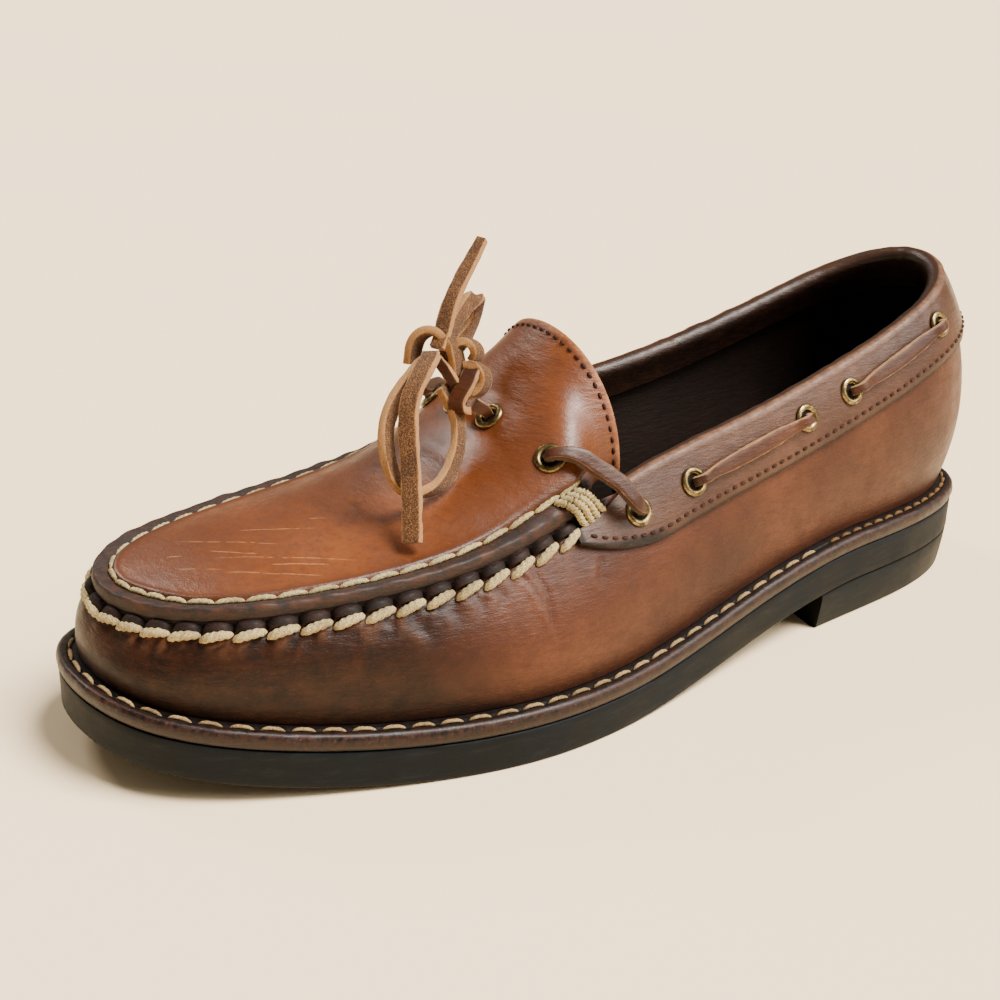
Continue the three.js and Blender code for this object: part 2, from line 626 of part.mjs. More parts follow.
// One place on the collar's outside, at a height above the leather.
function collarPlace(eyelet, sign, high) {
  return wallOffset(sign * eyelet.u, eyelet.v, GAP + COLLAR.thick + high);
}

// The lace that shows between two eyelets of the collar.
function laceBar(from, to, sign) {
  const at = (t, high) => {
    const place = { u: lerp(from.u, to.u, t), v: lerp(from.v, to.v, t) };
    return collarPlace(place, sign, high);
  };
  const long = at(0, 0).distanceTo(at(1, 0));
  const start = LACE_ENDS.map((row) => at(row.along / long, row.high));
  const end = LACE_ENDS.map((row) => at(1 - row.along / long, row.high)).reverse();
  const wide = LACE_ENDS.map((row) => row.wide);
  const middle = (t) => wallNormal(sign * lerp(from.u, to.u, t), lerp(from.v, to.v, t));
  const points = [...start, at(0.5, LACE_MIDDLE), ...end];
  const side = (p, ahead, t) => middle(t).cross(ahead);
  return lace(points, side, [...wide, LACE.width, ...wide.reverse()], LACE_STEPS.bar);
}

function eyeletOnPlug(row, sign) {
  const w = sign > 0 ? row.w : row.medialW;
  return { seat: plugOffset(sign * row.u, w, GAP), normal: plugNormal(sign * row.u, w) };
}
function eyeletOnCollar(row, sign) {
  return { seat: collarPlace(row, sign, GAP), normal: wallNormal(sign * row.u, row.v) };
}

// The lace from the plug's outer eyelet over the end of the seam into the collar's front eyelet.
function laceCross(sign) {
  const a = eyeletOnPlug(PLUG_EYELETS[0], sign);
  const b = eyeletOnCollar(COLLAR_EYELETS[0], sign);
  const from = ({ seat, normal }) => (row) =>
    seat.clone().addScaledVector(normal, row.high).add(new THREE.Vector3(sign * row.x, row.y, row.z));
  const points = [...CROSS_FROM_PLUG.map(from(a)), ...CROSS_TO_COLLAR.map(from(b))];
  const side = (p, ahead, t) => a.normal.clone().lerp(b.normal, t).cross(ahead);
  return lace(points, side, CROSS_WIDTHS, LACE_STEPS.cross);
}

// The lace from the plug's inner eyelet up to the knot.
function laceLeg(sign) {
  const { seat, normal } = eyeletOnPlug(PLUG_EYELETS[1], sign);
  const foot = vector(KNOT.low).add(vector(sign > 0 ? LEG_FOOT.lateral : LEG_FOOT.medial));
  const start = seat.clone().addScaledVector(normal, LEG.start);
  const rise = seat.clone().addScaledVector(normal, LEG.rise);
  return lace([start, rise, rise.clone().lerp(foot, LEG.bend), foot], flatOn, LEG.widths, LACE_STEPS.leg);
}

// The knot as one barrel along its axis.
function knot() {
  const [low, high] = [vector(KNOT.low), vector(KNOT.high)];
  const axis = high.clone().sub(low);
  const arc = spread(KNOT.rows, 0, Math.PI, (a) => a).slice(1, -1);
  const profile = [
    new THREE.Vector2(0, 0),
    ...arc.map((a) => {
      const r = KNOT.radius * Math.sin(a) ** KNOT.fullness;
      return new THREE.Vector2(r, (axis.length() / 2) * (1 - Math.cos(a)));
    }),
    new THREE.Vector2(0, axis.length()),
  ];
  const g = mergeVertices(stripped(new THREE.LatheGeometry(profile, KNOT.sides)), 1e-4);
  const turned = new THREE.Quaternion().setFromUnitVectors(new THREE.Vector3(0, 1, 0), axis.normalize());
  g.applyQuaternion(turned);
  g.translate(low.x, low.y, low.z);
  return g;
}

const root = new THREE.Group();
const colours = {
  rubber: new THREE.MeshStandardMaterial({ color: 0x4b514c, roughness: 0.75 }),
  darkLeather: new THREE.MeshStandardMaterial({ color: 0x3d2218, roughness: 0.5 }),
  leather: new THREE.MeshStandardMaterial({ color: 0x8a4b2a, roughness: 0.45 }),
  lining: new THREE.MeshStandardMaterial({ color: 0x3a2012, roughness: 0.7 }),
  brass: new THREE.MeshStandardMaterial({ color: 0x9a8352, roughness: 0.35, metalness: 1 }),
  lace: new THREE.MeshStandardMaterial({ color: 0x6b4427, roughness: 0.85 }),
};
function add(name, geometry, material) {
  const mesh = new THREE.Mesh(geometry, material.clone());
  mesh.name = name;
  root.add(mesh);
}
add("outsole", outsole(), colours.rubber);
add("heel", heel(), colours.rubber);
add("midsole", midsole(), colours.darkLeather);
add("insole", insole(), colours.lining);
add("upper", upper(), colours.leather);
add("plug_and_tongue", plug(), colours.leather);
add("collar", collar(), colours.leather);
add("back_stay", backStay(), colours.leather);
for (const [hand, sign] of [
  ["lateral", 1],
  ["medial", -1],
]) {
  for (const row of COLLAR_EYELETS) {
    const { seat, normal } = eyeletOnCollar(row, sign);
    add(`collar_eyelet_${hand}_${row.at}`, eyelet(seat, normal), colours.brass);
  }
  for (const row of PLUG_EYELETS) {
    const { seat, normal } = eyeletOnPlug(row, sign);
    add(`plug_eyelet_${hand}_${row.at}`, eyelet(seat, normal), colours.brass);
  }
  const [, second, third, fourth, rear] = COLLAR_EYELETS;
  add(`lace_bar_${hand}_front`, laceBar(second, third, sign), colours.lace);
  add(`lace_bar_${hand}_rear`, laceBar(fourth, rear, sign), colours.lace);
  add(`lace_cross_${hand}`, laceCross(sign), colours.lace);
  add(`lace_leg_${hand}`, laceLeg(sign), colours.lace);
}
add("bow_knot", knot(), colours.lace);
const bowPiece = (route, side, steps) => lace(route.map(vector), side, [LACE.width, LACE.width], steps);
add("bow_loop_front", bowPiece(LOOP_FRONT, edgeOn, LACE_STEPS.loopFront), colours.lace);
add("bow_loop_back", bowPiece(LOOP_BACK, edgeOn, LACE_STEPS.loopBack), colours.lace);
add("bow_end_hanging", bowPiece(END_HANGING, flatOn, LACE_STEPS.hanging), colours.lace);
add("bow_end_upright", bowPiece(END_UPRIGHT, flatOn, LACE_STEPS.upright), colours.lace);

// The origin lies on the floor under the middle of the whole shoe.
const box = new THREE.Box3().setFromObject(root);
const middle = box.getCenter(new THREE.Vector3());
root.children.forEach((mesh) => mesh.geometry.translate(-middle.x, -middle.y, 0));

export default root;
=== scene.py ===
import math

import bpy
import numpy as np
from mathutils import Matrix, Vector


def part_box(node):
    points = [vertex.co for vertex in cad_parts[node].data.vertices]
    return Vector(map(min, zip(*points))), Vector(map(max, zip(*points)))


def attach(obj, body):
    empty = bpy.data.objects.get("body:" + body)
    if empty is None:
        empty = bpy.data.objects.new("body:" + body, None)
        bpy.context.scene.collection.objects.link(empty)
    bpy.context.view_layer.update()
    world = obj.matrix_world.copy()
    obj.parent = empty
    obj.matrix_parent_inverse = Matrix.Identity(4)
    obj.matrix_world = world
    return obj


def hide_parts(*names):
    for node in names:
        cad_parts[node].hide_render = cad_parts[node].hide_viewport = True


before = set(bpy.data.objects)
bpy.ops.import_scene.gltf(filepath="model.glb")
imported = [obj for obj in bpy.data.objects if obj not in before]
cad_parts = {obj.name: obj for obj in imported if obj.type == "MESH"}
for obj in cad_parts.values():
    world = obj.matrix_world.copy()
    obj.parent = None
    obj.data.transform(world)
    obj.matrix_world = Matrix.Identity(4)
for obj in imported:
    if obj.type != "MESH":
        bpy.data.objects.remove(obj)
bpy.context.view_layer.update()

# Driving sizes
GAP = 0.3
WALL = 2.2
PLUG = dict(thick=2.4, lift=0.9, overhang=0.6, groove=0.9, fan_to=1.1, end_u=4.9)
TONGUE = dict(tuck=6.2, drop=3.4, from_u=4.28, tucked_u=4.74)
COLLAR = dict(thick=1.7, front=7.6, deep=18.8, heel_deep=19.5, fold_inside=9, from_u=4.25, full_u=5.05)
COLLAR_FOLD_FROM = 4.72
SEAM = dict(band=3.2, under=1.8, step_in=1.8, end_u=4.4, fade=0.35, pitch=8.0)
WELT = dict(thick=4.7, ledge=5.2)
OUTSOLE = dict(thick=10.2, chamfer=0.8)
HEEL = dict(breast_y=68, taper=1.4, breast_curve=3.5)
TOE_SPRING = dict(rise=10.5, from_y=-61, to_y=-148)
SHANK = dict(rise=12.9, from_y=-23, to_y=90)
INSOLE = dict(thick=2.6, clear=0.8)
STAY = dict(thick=1.6, from_u=9.6)
EYELET = dict(hole=2.2, flange=4.2, high=0.95)
LACE_THICK = 1.8
ROLL = GAP + COLLAR["thick"] + WALL / 2

# Sections round the shoe, a row each: edge of the sole in plan, rim or topline, belly and shoulder of the wall
# x, y, top x, top y, top z, belly, shoulder
STATIONS = np.array([
    (-8, -148, -6.5, -136.5, 43.6, 1, 4),
    (21, -139.5, 17, -126, 45.5, 1.5, 5),
    (40, -110.5, 31.5, -102, 47.8, 2, 6),
    (52.5, -75, 38.9, -68.5, 50.2, 2.5, 8),
    (58.5, -38, 39.9, -36.4, 55.9, 3, 8),
    (53, 5, 36.1, 0.8, 65.8, 2.5, 7),
    (46, 45, 33.2, 40.2, 72.7, 2, 6),
    (41.5, 85, 29.5, 79, 80.7, 4, 7),
    (37, 118, 26.3, 108, 88.8, 6, 9),
    (24.5, 144.5, 18.6, 132, 97.2, 8, 11.5),
    (0, 152.7, -1, 143.2, 101.2, 8, 12),
    (-24.5, 144.5, -19, 132, 96.6, 7.5, 11),
    (-36.5, 118, -27, 110, 88, 6, 9),
    (-36, 85, -28.5, 80, 79.8, 3, 7),
    (-33, 45, -29.5, 41, 72, 0.5, 6),
    (-38, 5, -33.5, 1.5, 65.5, 1, 6),
    (-47.5, -40, -35.5, -38, 56, 2.5, 7),
    (-51, -78, -37, -73, 49.8, 2.5, 7),
    (-46, -113, -34.3, -105, 47.6, 2, 6),
    (-31, -139, -24, -130, 46.3, 1.5, 5),
])
TURN = len(STATIONS)

# The ridge of the plug and tongue: station, y, z, steepness of the sides
PLUG_ROWS = np.array([
    (0, -136.2, 44.5, 0),
    (1.1, -117, 49, 0),
    (2.0, -98, 51.6, 0),
    (3.0, -70, 56, 0.05),
    (3.7, -49, 63.5, 0.25),
    (4.2, -31, 75, 0.7),
    (4.55, -20, 86, 0.95),
    (4.9, -10, 97, 1),
])

# Eyelets: place along the rim in stations, share of the wall's height, or share from the plug's edge to its ridge
COLLAR_EYELETS = dict(
    front=(4.79, 0.835), second=(5.32, 0.822), third=(6.48, 0.847), fourth=(7, 0.854), rear=(8.49, 0.892),
)
PLUG_EYELETS = dict(outer=(4.254, 0.43, 0.43), inner=(4.195, 0.93, 0.8))
HANDS = dict(lateral=1, medial=-1)

# The bow's lines from the knot outwards, as in the model
KNOT_LOW = (4.5, -37.5, 81)
LEG_FOOT = dict(lateral=(1.1, 1.7, -1.3), medial=(-2.1, 1.2, -0.8))
LOOP_FRONT = [
    (5.2, -45.9, 86.2), (9, -43.3, 78.2), (14, -46.7, 70), (18.5, -53.9, 65.2), (19, -59.9, 64.1),
    (18, -66, 66.4), (13, -67.4, 77), (9, -63, 85), (5.5, -54.5, 91.2), (3, -48, 93.4),
]
LOOP_BACK = [
    (-0.5, -40, 97.8), (-5.5, -31.5, 103.6), (-10.5, -24.6, 103),
    (-12, -25, 96.8), (-8, -31.5, 92.5), (-3, -38.5, 91),
]
END_HANGING = [
    (6.2, -49.8, 96), (9.6, -54, 93.6), (13, -60.1, 87.8),
    (17.5, -63.4, 78.4), (24, -66.4, 67.6), (30, -70, 56.3),
]
# this one starts inside the knot, before the model's first point
END_UPRIGHT = [
    (2.3, -45.5, 96), (1.4, -43.7, 98.6), (-1, -38.9, 107.3), (-3.5, -32.8, 114), (-6, -26.2, 121.1),
]

# From the shoe to the photograph's eye, level across that view, and the two ways that a thong's width lies
VIEWED = np.array((0.754, -0.532, 0.385))
ACROSS = np.array((0.576, 0.817, 0.0))
TURNED = VIEWED * 0.84 - ACROSS * 0.54
FACING = ACROSS * 0.95 + VIEWED * 0.3
UP = np.array((0.0, 0.0, 1.0))


def closed_spline(values):
    """Periodic cubic spline through values at 0, 1, 2 and so on."""
    n = len(values)
    system = 4 * np.eye(n) + np.roll(np.eye(n), 1, 0) + np.roll(np.eye(n), -1, 0)
    bend = np.linalg.solve(system, 6 * (np.roll(values, -1) - 2 * values + np.roll(values, 1)))

    def at(u):
        t = np.mod(u, n)
        i = np.minimum(np.floor(t).astype(int), n - 1)
        j = (i + 1) % n
        b = t - i
        a = 1 - b
        return a * values[i] + b * values[j] + ((a**3 - a) * bend[i] + (b**3 - b) * bend[j]) / 6

    return at


def open_spline(places, values):
    """Natural cubic spline through values at the given places; values may be points."""
    places, values = np.asarray(places, float), np.asarray(values, float)
    n = len(places)
    system = np.eye(n)
    pull = np.zeros_like(values)
    for i in range(1, n - 1):
        before, after = places[i] - places[i - 1], places[i + 1] - places[i]
        system[i, i - 1 : i + 2] = before, 2 * (before + after), after
        pull[i] = 6 * ((values[i + 1] - values[i]) / after - (values[i] - values[i - 1]) / before)
    bend = np.linalg.solve(system, pull)

    def at(p):
        p = np.asarray(p, float)
        i = np.clip(np.searchsorted(places, p, side="right") - 1, 0, n - 2)
        span = places[i + 1] - places[i]
        b = (p - places[i]) / span
        a = 1 - b
        if values.ndim > 1:
            a, b, span = a[..., None], b[..., None], span[..., None]
        curved = ((a**3 - a) * bend[i] + (b**3 - b) * bend[i + 1]) * span**2 / 6
        return a * values[i] + b * values[i + 1] + curved

    return at


edge_x, edge_y, top_x, top_y, top_z, belly, shoulder = (closed_spline(c) for c in STATIONS.T)
crown_y, crown_z, steep = (open_spline(PLUG_ROWS[:, 0], c) for c in PLUG_ROWS.T[1:])


def clamp(t):
    return np.clip(t, 0.0, 1.0)


def smooth(t):
    return clamp(t) ** 2 * (3 - 2 * clamp(t))


def hump(t, middle, width):
    """A soft hill of height 1."""
    return np.exp(-(((t - middle) / width) ** 2))


def lerp(a, b, t):
    return a + (b - a) * t


def vec(x, y, z):
    return np.stack(np.broadcast_arrays(x, y, z), -1).astype(float)


def unit(v):
    return v / np.maximum(np.linalg.norm(v, axis=-1, keepdims=True), 1e-9)


def col(t):
    """A number for each point, ready to scale points with."""
    return np.asarray(t, float)[..., None]


# The sole's levels
def sole_bottom(y):
    toe = np.maximum(0, (TOE_SPRING["from_y"] - y) / (TOE_SPRING["from_y"] - TOE_SPRING["to_y"]))
    shank = smooth((y - SHANK["from_y"]) / (SHANK["to_y"] - SHANK["from_y"]))
    return TOE_SPRING["rise"] * toe**2 + SHANK["rise"] * shank


def sole_top(y):
    return sole_bottom(y) + OUTSOLE["thick"]


def welt_bottom(y):
    return sole_top(y) + GAP


def welt_top(y):
    return welt_bottom(y) + WELT["thick"]


def upper_bottom(y):
    return welt_top(y) + GAP


def outward(u):
    step = 0.02
    dx = edge_x(u + step) - edge_x(u - step)
    dy = edge_y(u + step) - edge_y(u - step)
    return unit(vec(dy, -dx, 0 * dx))


def edge_point(u, inset, height, lift=0.0):
    """The sole's outline moved inwards, at the height that a function of y gives."""
    out = outward(u)
    x = edge_x(u) - inset * out[..., 0]
    y = edge_y(u) - inset * out[..., 1]
    return vec(x, y, height(y) + lift)


def from_toe(u):
    t = np.mod(u, TURN)
    return np.minimum(t, TURN - t)


def signed_station(u):
    """Stations from the toe's tip, negative on the medial side."""
    t = np.mod(u, TURN)
    return np.where(t > TURN / 2, t - TURN, t)


def seam_share(u):
    """1 along the moccasin seam, 0 along the collar."""
    return 1 - smooth((from_toe(u) - SEAM["end_u"]) / SEAM["fade"])


def rim_point(u):
    return vec(top_x(u), top_y(u), top_z(u))


# The tub's wall
def wall_point(u, v):
    """v 0 to 1 climbs from the welt to the thread line, and 1 to 2 is the gathered band."""
    u, v = np.broadcast_arrays(np.asarray(u, float), np.asarray(v, float))
    out, share = outward(u), col(seam_share(u))
    foot = edge_point(u, WELT["ledge"], upper_bottom)
    rim = rim_point(u) + UP * lerp(-ROLL, -SEAM["under"], share)
    thread = rim + out * SEAM["step_in"] * share - UP * lerp(0.5, SEAM["band"], share)
    tall = col(thread[..., 2] - foot[..., 2])
    low = foot + out * col(belly(u)) + UP * 0.38 * tall
    high = thread + out * col(shoulder(u)) - UP * 0.25 * tall
    t = col(np.minimum(v, 1))
    s = 1 - t
    curve = s**3 * foot + 3 * s * s * t * low + 3 * s * t * t * high + t**3 * thread
    return np.where(col(v) > 1, thread + (rim - thread) * col(np.maximum(v - 1, 0)), curve)


def wall_normal(u, v):
    step = 0.01
    w = np.minimum(v, 1 - step)
    along = wall_point(u + step, w) - wall_point(u - step, w)
    rise = wall_point(u, w + step) - wall_point(u, np.maximum(0, w - step))
    return unit(np.cross(along, rise))


def wall_offset(u, v, off):
    return wall_point(u, v) + wall_normal(u, v) * col(off)


def wall_share_at(u, z):
    """The share v at which the wall reaches a height."""
    u, z = np.broadcast_arrays(np.asarray(u, float), np.asarray(z, float))
    low, high = np.zeros(u.shape), np.ones(u.shape)
    for _ in range(26):
        mid = (low + high) / 2
        under = wall_point(u, mid)[..., 2] < z
        low, high = np.where(under, mid, low), np.where(under, high, mid)
    return low


def collar_depth(u):
    t = clamp((from_toe(u) - COLLAR["from_u"]) / (COLLAR["full_u"] - COLLAR["from_u"]))
    front = lerp(COLLAR["front"], COLLAR["deep"], np.sin(t * math.pi / 2))
    return front + (COLLAR["heel_deep"] - COLLAR["deep"]) * smooth((from_toe(u) - 8) / 2)


# The plug and tongue
def plug_edge(u):
    a, share = from_toe(u), seam_share(u)
    tuck = TONGUE["tuck"] * smooth((a - TONGUE["from_u"]) / (TONGUE["tucked_u"] - TONGUE["from_u"]))
    drop = TONGUE["drop"] * smooth((a - SEAM["end_u"] - 0.1) / 0.4)
    over = outward(u) * col(PLUG["overhang"] * share - tuck)
    return rim_point(u) + over + UP * col(PLUG["lift"] * share - drop)


def ridge(a):
    middle = (plug_edge(a) + plug_edge(-a)) / 2
    return vec(middle[..., 0], crown_y(a), crown_z(a) + PLUG["lift"])


def plug_point(u, w):
    """Top face of the plug: w 0 at its edge, 1 on its ridge; u is negative on the medial side."""
    u, w = np.broadcast_arrays(np.asarray(u, float), np.asarray(w, float))
    a = np.maximum(np.abs(u), PLUG["fan_to"])
    edge, crown = plug_edge(u), ridge(a)
    ahead = ridge(a + 0.05) - ridge(a - 0.05)
    flat = crown - edge
    rise = flat[..., 2].copy()
    flat[..., 2] = 0
    s = clamp(steep(np.abs(u)))
    near = edge + flat * col(lerp(0.36, 0, s)) + UP * col(rise * lerp(0.5, 0.6, s))
    reach = lerp(0.5, 0.62, s)
    back = reach * flat[..., 1] * (1 - smooth(np.abs(u) - PLUG["fan_to"]))
    slope = ahead[..., 2] / ahead[..., 1]
    far = vec(crown[..., 0] - reach * flat[..., 0], crown[..., 1] - back, crown[..., 2] - back * slope)
    t = col(w)
    q = 1 - t
    return q**3 * edge + 3 * q * q * t * near + 3 * q * t * t * far + t**3 * crown


def plug_normal(u, w):
    u, w = np.broadcast_arrays(np.asarray(u, float), np.asarray(w, float))
    step = 0.01
    t = np.minimum(w, 1 - step)
    along = plug_point(u + step, t) - plug_point(u - step, t)
    across = plug_point(u, t + step) - plug_point(u, np.maximum(0, t - step))
    a = np.maximum(np.abs(u), PLUG["fan_to"])
    ahead = ridge(a + 0.05) - ridge(a - 0.05)
    top = unit(vec(0 * a, -ahead[..., 2], ahead[..., 1]))
    return np.where(col(w) > 1 - step, top, unit(np.cross(along, across)))


def plug_offset(u, w, off):
    return plug_point(u, w) + plug_normal(u, w) * col(off)


def plug_share_at(u, distance):
    """The share w that lies a distance in from the plug's edge."""
    step = np.linalg.norm(plug_point(u, 0.05) - plug_point(u, 0.0), axis=-1)
    return 0.05 * distance / step


# From the shoe's millimetres to the frame
_outline = edge_point(np.linspace(0, TURN, 4001), 0, sole_top)
_low, _high = (np.array(corner) * 1000 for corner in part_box("outsole"))
SHIFT = (_outline.min(0) + _outline.max(0)) / 2 - (_low + _high) / 2
SHIFT[2] = 0


def to_frame(points):
    return (np.asarray(points, float) - SHIFT) / 1000


# Lengths along lines, so that stitches and pleats keep their real pitch
def line_length(points):
    steps = np.linalg.norm(np.diff(points, axis=0), axis=1)
    return np.concatenate([[0], np.cumsum(steps)])


SEAM_U = np.linspace(-5.6, 5.6, 2241)
SEAM_S = line_length(wall_point(SEAM_U, 1.0))
SEAM_S -= np.interp(0, SEAM_U, SEAM_S)


def seam_length(u):
    """Millimetres along the thread line from the toe tip, negative on the medial side."""
    return np.interp(signed_station(u), SEAM_U, SEAM_S)


def seam_station(s):
    return np.interp(s, SEAM_S, SEAM_U)


def ripple(x, seed):
    """Smooth noise of one number, about -1 to 1, with one swing for each unit."""
    steps = np.floor(x).astype(int)
    part = x - steps
    part = part * part * (3 - 2 * part)

    def knot_value(i):
        return np.modf(np.abs(np.sin(i * 12.9898 + seed * 78.233) * 43758.5453))[0] * 2 - 1

    return knot_value(steps) * (1 - part) + knot_value(steps + 1) * part


def grain(x, y, seed):
    """Smooth noise over two numbers, about -1 to 1."""
    ix, iy = np.floor(x).astype(int), np.floor(y).astype(int)
    fx, fy = x - ix, y - iy
    fx, fy = fx * fx * (3 - 2 * fx), fy * fy * (3 - 2 * fy)

    def corner(i, j):
        return np.modf(np.abs(np.sin(i * 12.9898 + j * 78.233 + seed * 37.719) * 43758.5453))[0] * 2 - 1

    near = corner(ix, iy) * (1 - fx) + corner(ix + 1, iy) * fx
    far = corner(ix, iy + 1) * (1 - fx) + corner(ix + 1, iy + 1) * fx
    return near * (1 - fy) + far * fy


# Meshes
def loft_faces(rows, cols, close_rows=False, close_cols=False, flip=False):
    """Four-sided faces over a grid of points that are numbered row by row."""
    row, column = np.arange(rows if close_rows else rows - 1), np.arange(cols if close_cols else cols - 1)
    i, j = np.meshgrid(row, column, indexing="ij")
    k, m = (i + 1) % rows, (j + 1) % cols
    quads = np.stack([i * cols + j, k * cols + j, k * cols + m, i * cols + m], -1).reshape(-1, 4)
    return quads[:, ::-1] if flip else quads


def end_faces(rows, cols):
    """The flat faces that close a tube's first and last row."""
    return [list(range(cols)), [(rows - 1) * cols + j for j in range(cols)][::-1]]


def welded(points, faces, which, paint):
    """The same body with its doubled points joined, and without the faces that shrink to a line."""
    _, first, same = np.unique(np.round(points, 4), axis=0, return_index=True, return_inverse=True)
    order = same.reshape(-1)
    kept, kept_which = [], []
    for face, material in zip(faces, which):
        joined = [int(order[v]) for v in face]
        short = [v for i, v in enumerate(joined) if v != joined[i - 1]]
        if len(short) > 2:
            kept.append(short)
            kept_which.append(material)
    return points[first], kept, kept_which, np.asarray(paint, float).reshape(-1, 4)[first]


def make_mesh(name, points, faces, materials, paint=None, which=None, sharp=50.0, weld=False):
    """One object from points in millimetres. paint: masks for the material. which: each face's material."""
    points = np.asarray(points, float).reshape(-1, 3)
    faces = [list(f) for f in faces]
    if weld:
        points, faces, which, paint = welded(points, faces, which, paint)
    mesh = bpy.data.meshes.new(name)
    mesh.from_pydata(to_frame(points).tolist(), [], faces)
    if paint is not None:
        layer = mesh.attributes.new("paint", "FLOAT_COLOR", "POINT")
        layer.data.foreach_set("color", np.asarray(paint, np.float32).reshape(-1))
    for one in materials:
        mesh.materials.append(one)
    if which is not None:
        mesh.polygons.foreach_set("material_index", np.asarray(which, np.int32))
    mesh.shade_smooth()
    mesh.set_sharp_from_angle(angle=math.radians(sharp))
    mesh.update()
    piece = bpy.data.objects.new(name, mesh)
    bpy.context.scene.collection.objects.link(piece)
    return piece


def place_piece(piece, slot, *nodes):
    """Hangs the piece under the root body and hides the model's nodes that it stands for. slot: not used."""
    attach(piece, "root")
    if nodes:
        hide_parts(*nodes)
    return piece


def masks(shape, dark=0.0, wear=0.0, edge=0.0, mark=0.0):
    """The four paint masks of a piece, on its grid of points."""
    return np.stack([np.broadcast_to(m, shape) for m in (dark, wear, edge, mark)], -1)


# Materials
def tint(colour):
    """A colour given as it shows on a screen, 0 to 255, for a shader's linear socket."""
    return tuple(((c / 255 + 0.055) / 1.055) ** 2.4 if c > 10 else c / 255 / 12.92 for c in colour)


class Nodes:
    """A small builder for one material's nodes. Colours are given as they show on a screen, 0 to 255."""

    def __init__(self, name):
        self.material = bpy.data.materials.new(name)
        self.material.use_nodes = True
        self.tree = self.material.node_tree
        self.shader = self.tree.nodes["Principled BSDF"]

    def node(self, kind, **settings):
        made = self.tree.nodes.new(kind)
        for key, value in settings.items():
            setattr(made, key, value)
        return made

    def link(self, source, target):
        if isinstance(source, bpy.types.NodeSocket):
            self.tree.links.new(source, target)
        else:
            target.default_value = source

    def millimetres(self, stretch=(1, 1, 1)):
        """Coordinates in millimetres, stretched."""
        mapping = self.node("ShaderNodeMapping")
        mapping.inputs["Scale"].default_value = tuple(1000 * s for s in stretch)
        self.link(self.node("ShaderNodeTexCoord").outputs["Object"], mapping.inputs["Vector"])
        return mapping.outputs["Vector"]

    def masks(self):
        """The paint masks of the mesh: dark, wear, cut edge, scratch."""
        source = self.node("ShaderNodeAttribute", attribute_name="paint")
        split = self.node("ShaderNodeSeparateColor")
        self.link(source.outputs["Color"], split.inputs["Color"])
        return split.outputs["Red"], split.outputs["Green"], split.outputs["Blue"], source.outputs["Alpha"]

    def noise(self, size, detail=3.0, rough=0.55, stretch=(1, 1, 1)):
        made = self.node("ShaderNodeTexNoise")
        self.link(self.millimetres(stretch), made.inputs["Vector"])
        made.inputs["Scale"].default_value = 1 / size
        made.inputs["Detail"].default_value = detail
        made.inputs["Roughness"].default_value = rough
        return made.outputs["Fac"]

    def pores(self, size):
        """0 in the furrows between the cells of the grain."""
        made = self.node("ShaderNodeTexVoronoi", feature="DISTANCE_TO_EDGE")
        self.link(self.millimetres(), made.inputs["Vector"])
        made.inputs["Scale"].default_value = 1 / size
        return made.outputs["Distance"]

    def ramp(self, value, *stops):
        made = self.node("ShaderNodeValToRGB")
        points = made.color_ramp.elements
        while len(points) < len(stops):
            points.new(0.5)
        for point, (place, colour) in zip(points, stops):
            point.position = place
            point.color = (*tint(colour), 1)
        self.link(value, made.inputs["Fac"])
        return made.outputs["Color"]

    def span(self, value, low, high, to_low=0.0, to_high=1.0):
        """A value between low and high, spread over another range."""
        made = self.node("ShaderNodeMapRange")
        self.link(value, made.inputs["Value"])
        for key, number in zip(("From Min", "From Max", "To Min", "To Max"), (low, high, to_low, to_high)):
            made.inputs[key].default_value = number
        return made.outputs["Result"]

    def mix(self, share, colour, other):
        made = self.node("ShaderNodeMix", data_type="RGBA")
        self.link(share, made.inputs["Factor"])
        self.link(colour, made.inputs[6])
        self.link((*tint(other), 1), made.inputs[7])
        return made.outputs[2]

    def math(self, operation, a, b=0.0):
        made = self.node("ShaderNodeMath", operation=operation)
        self.link(a, made.inputs[0])
        self.link(b, made.inputs[1])
        return made.outputs[0]

    def add(self, a, b):
        return self.math("ADD", a, b)

    def times(self, a, b):
        return self.math("MULTIPLY", a, b)

    def scratch(self, x0, y0, x1, y1, width=0.24):
        """1 on a thin broken line seen from above, 0 beside it; its ends are in the shoe's millimetres."""
        start, end = to_frame([(x0, y0, 0), (x1, y1, 0)])
        along = end - start
        mapping = self.node("ShaderNodeMapping", vector_type="TEXTURE")
        mapping.inputs["Location"].default_value = (start[0], start[1], 0)
        mapping.inputs["Rotation"].default_value = (0, 0, math.atan2(along[1], along[0]))
        self.link(self.node("ShaderNodeTexCoord").outputs["Object"], mapping.inputs["Vector"])
        split = self.node("ShaderNodeSeparateXYZ")
        self.link(mapping.outputs["Vector"], split.inputs["Vector"])
        long = float(np.hypot(along[0], along[1])) * 1000
        share = self.times(split.outputs["X"], 1000 / long)
        middle = self.math("ABSOLUTE", self.math("SUBTRACT", share, 0.5))
        wander = self.span(self.noise(9, 1, 0.5), 0, 1, -0.6, 0.6)
        off = self.add(self.times(split.outputs["Y"], 1000), wander)
        thin = self.span(self.math("ABSOLUTE", off), 0.4 * width, width, 1, 0)
        ends = self.span(middle, 0.36, 0.5, 1, 0)
        broken = self.span(self.noise(2.1, 2, 0.6), 0.36, 0.52)
        return self.times(self.times(thin, ends), broken)

    def bump(self, height, distance, strength=1.0, under=None):
        """distance: millimetres that a height of 1 stands up."""
        made = self.node("ShaderNodeBump")
        made.inputs["Strength"].default_value = strength
        made.inputs["Distance"].default_value = distance / 1000
        self.link(height, made.inputs["Height"])
        if under is not None:
            self.link(under, made.inputs["Normal"])
        return made.outputs["Normal"]

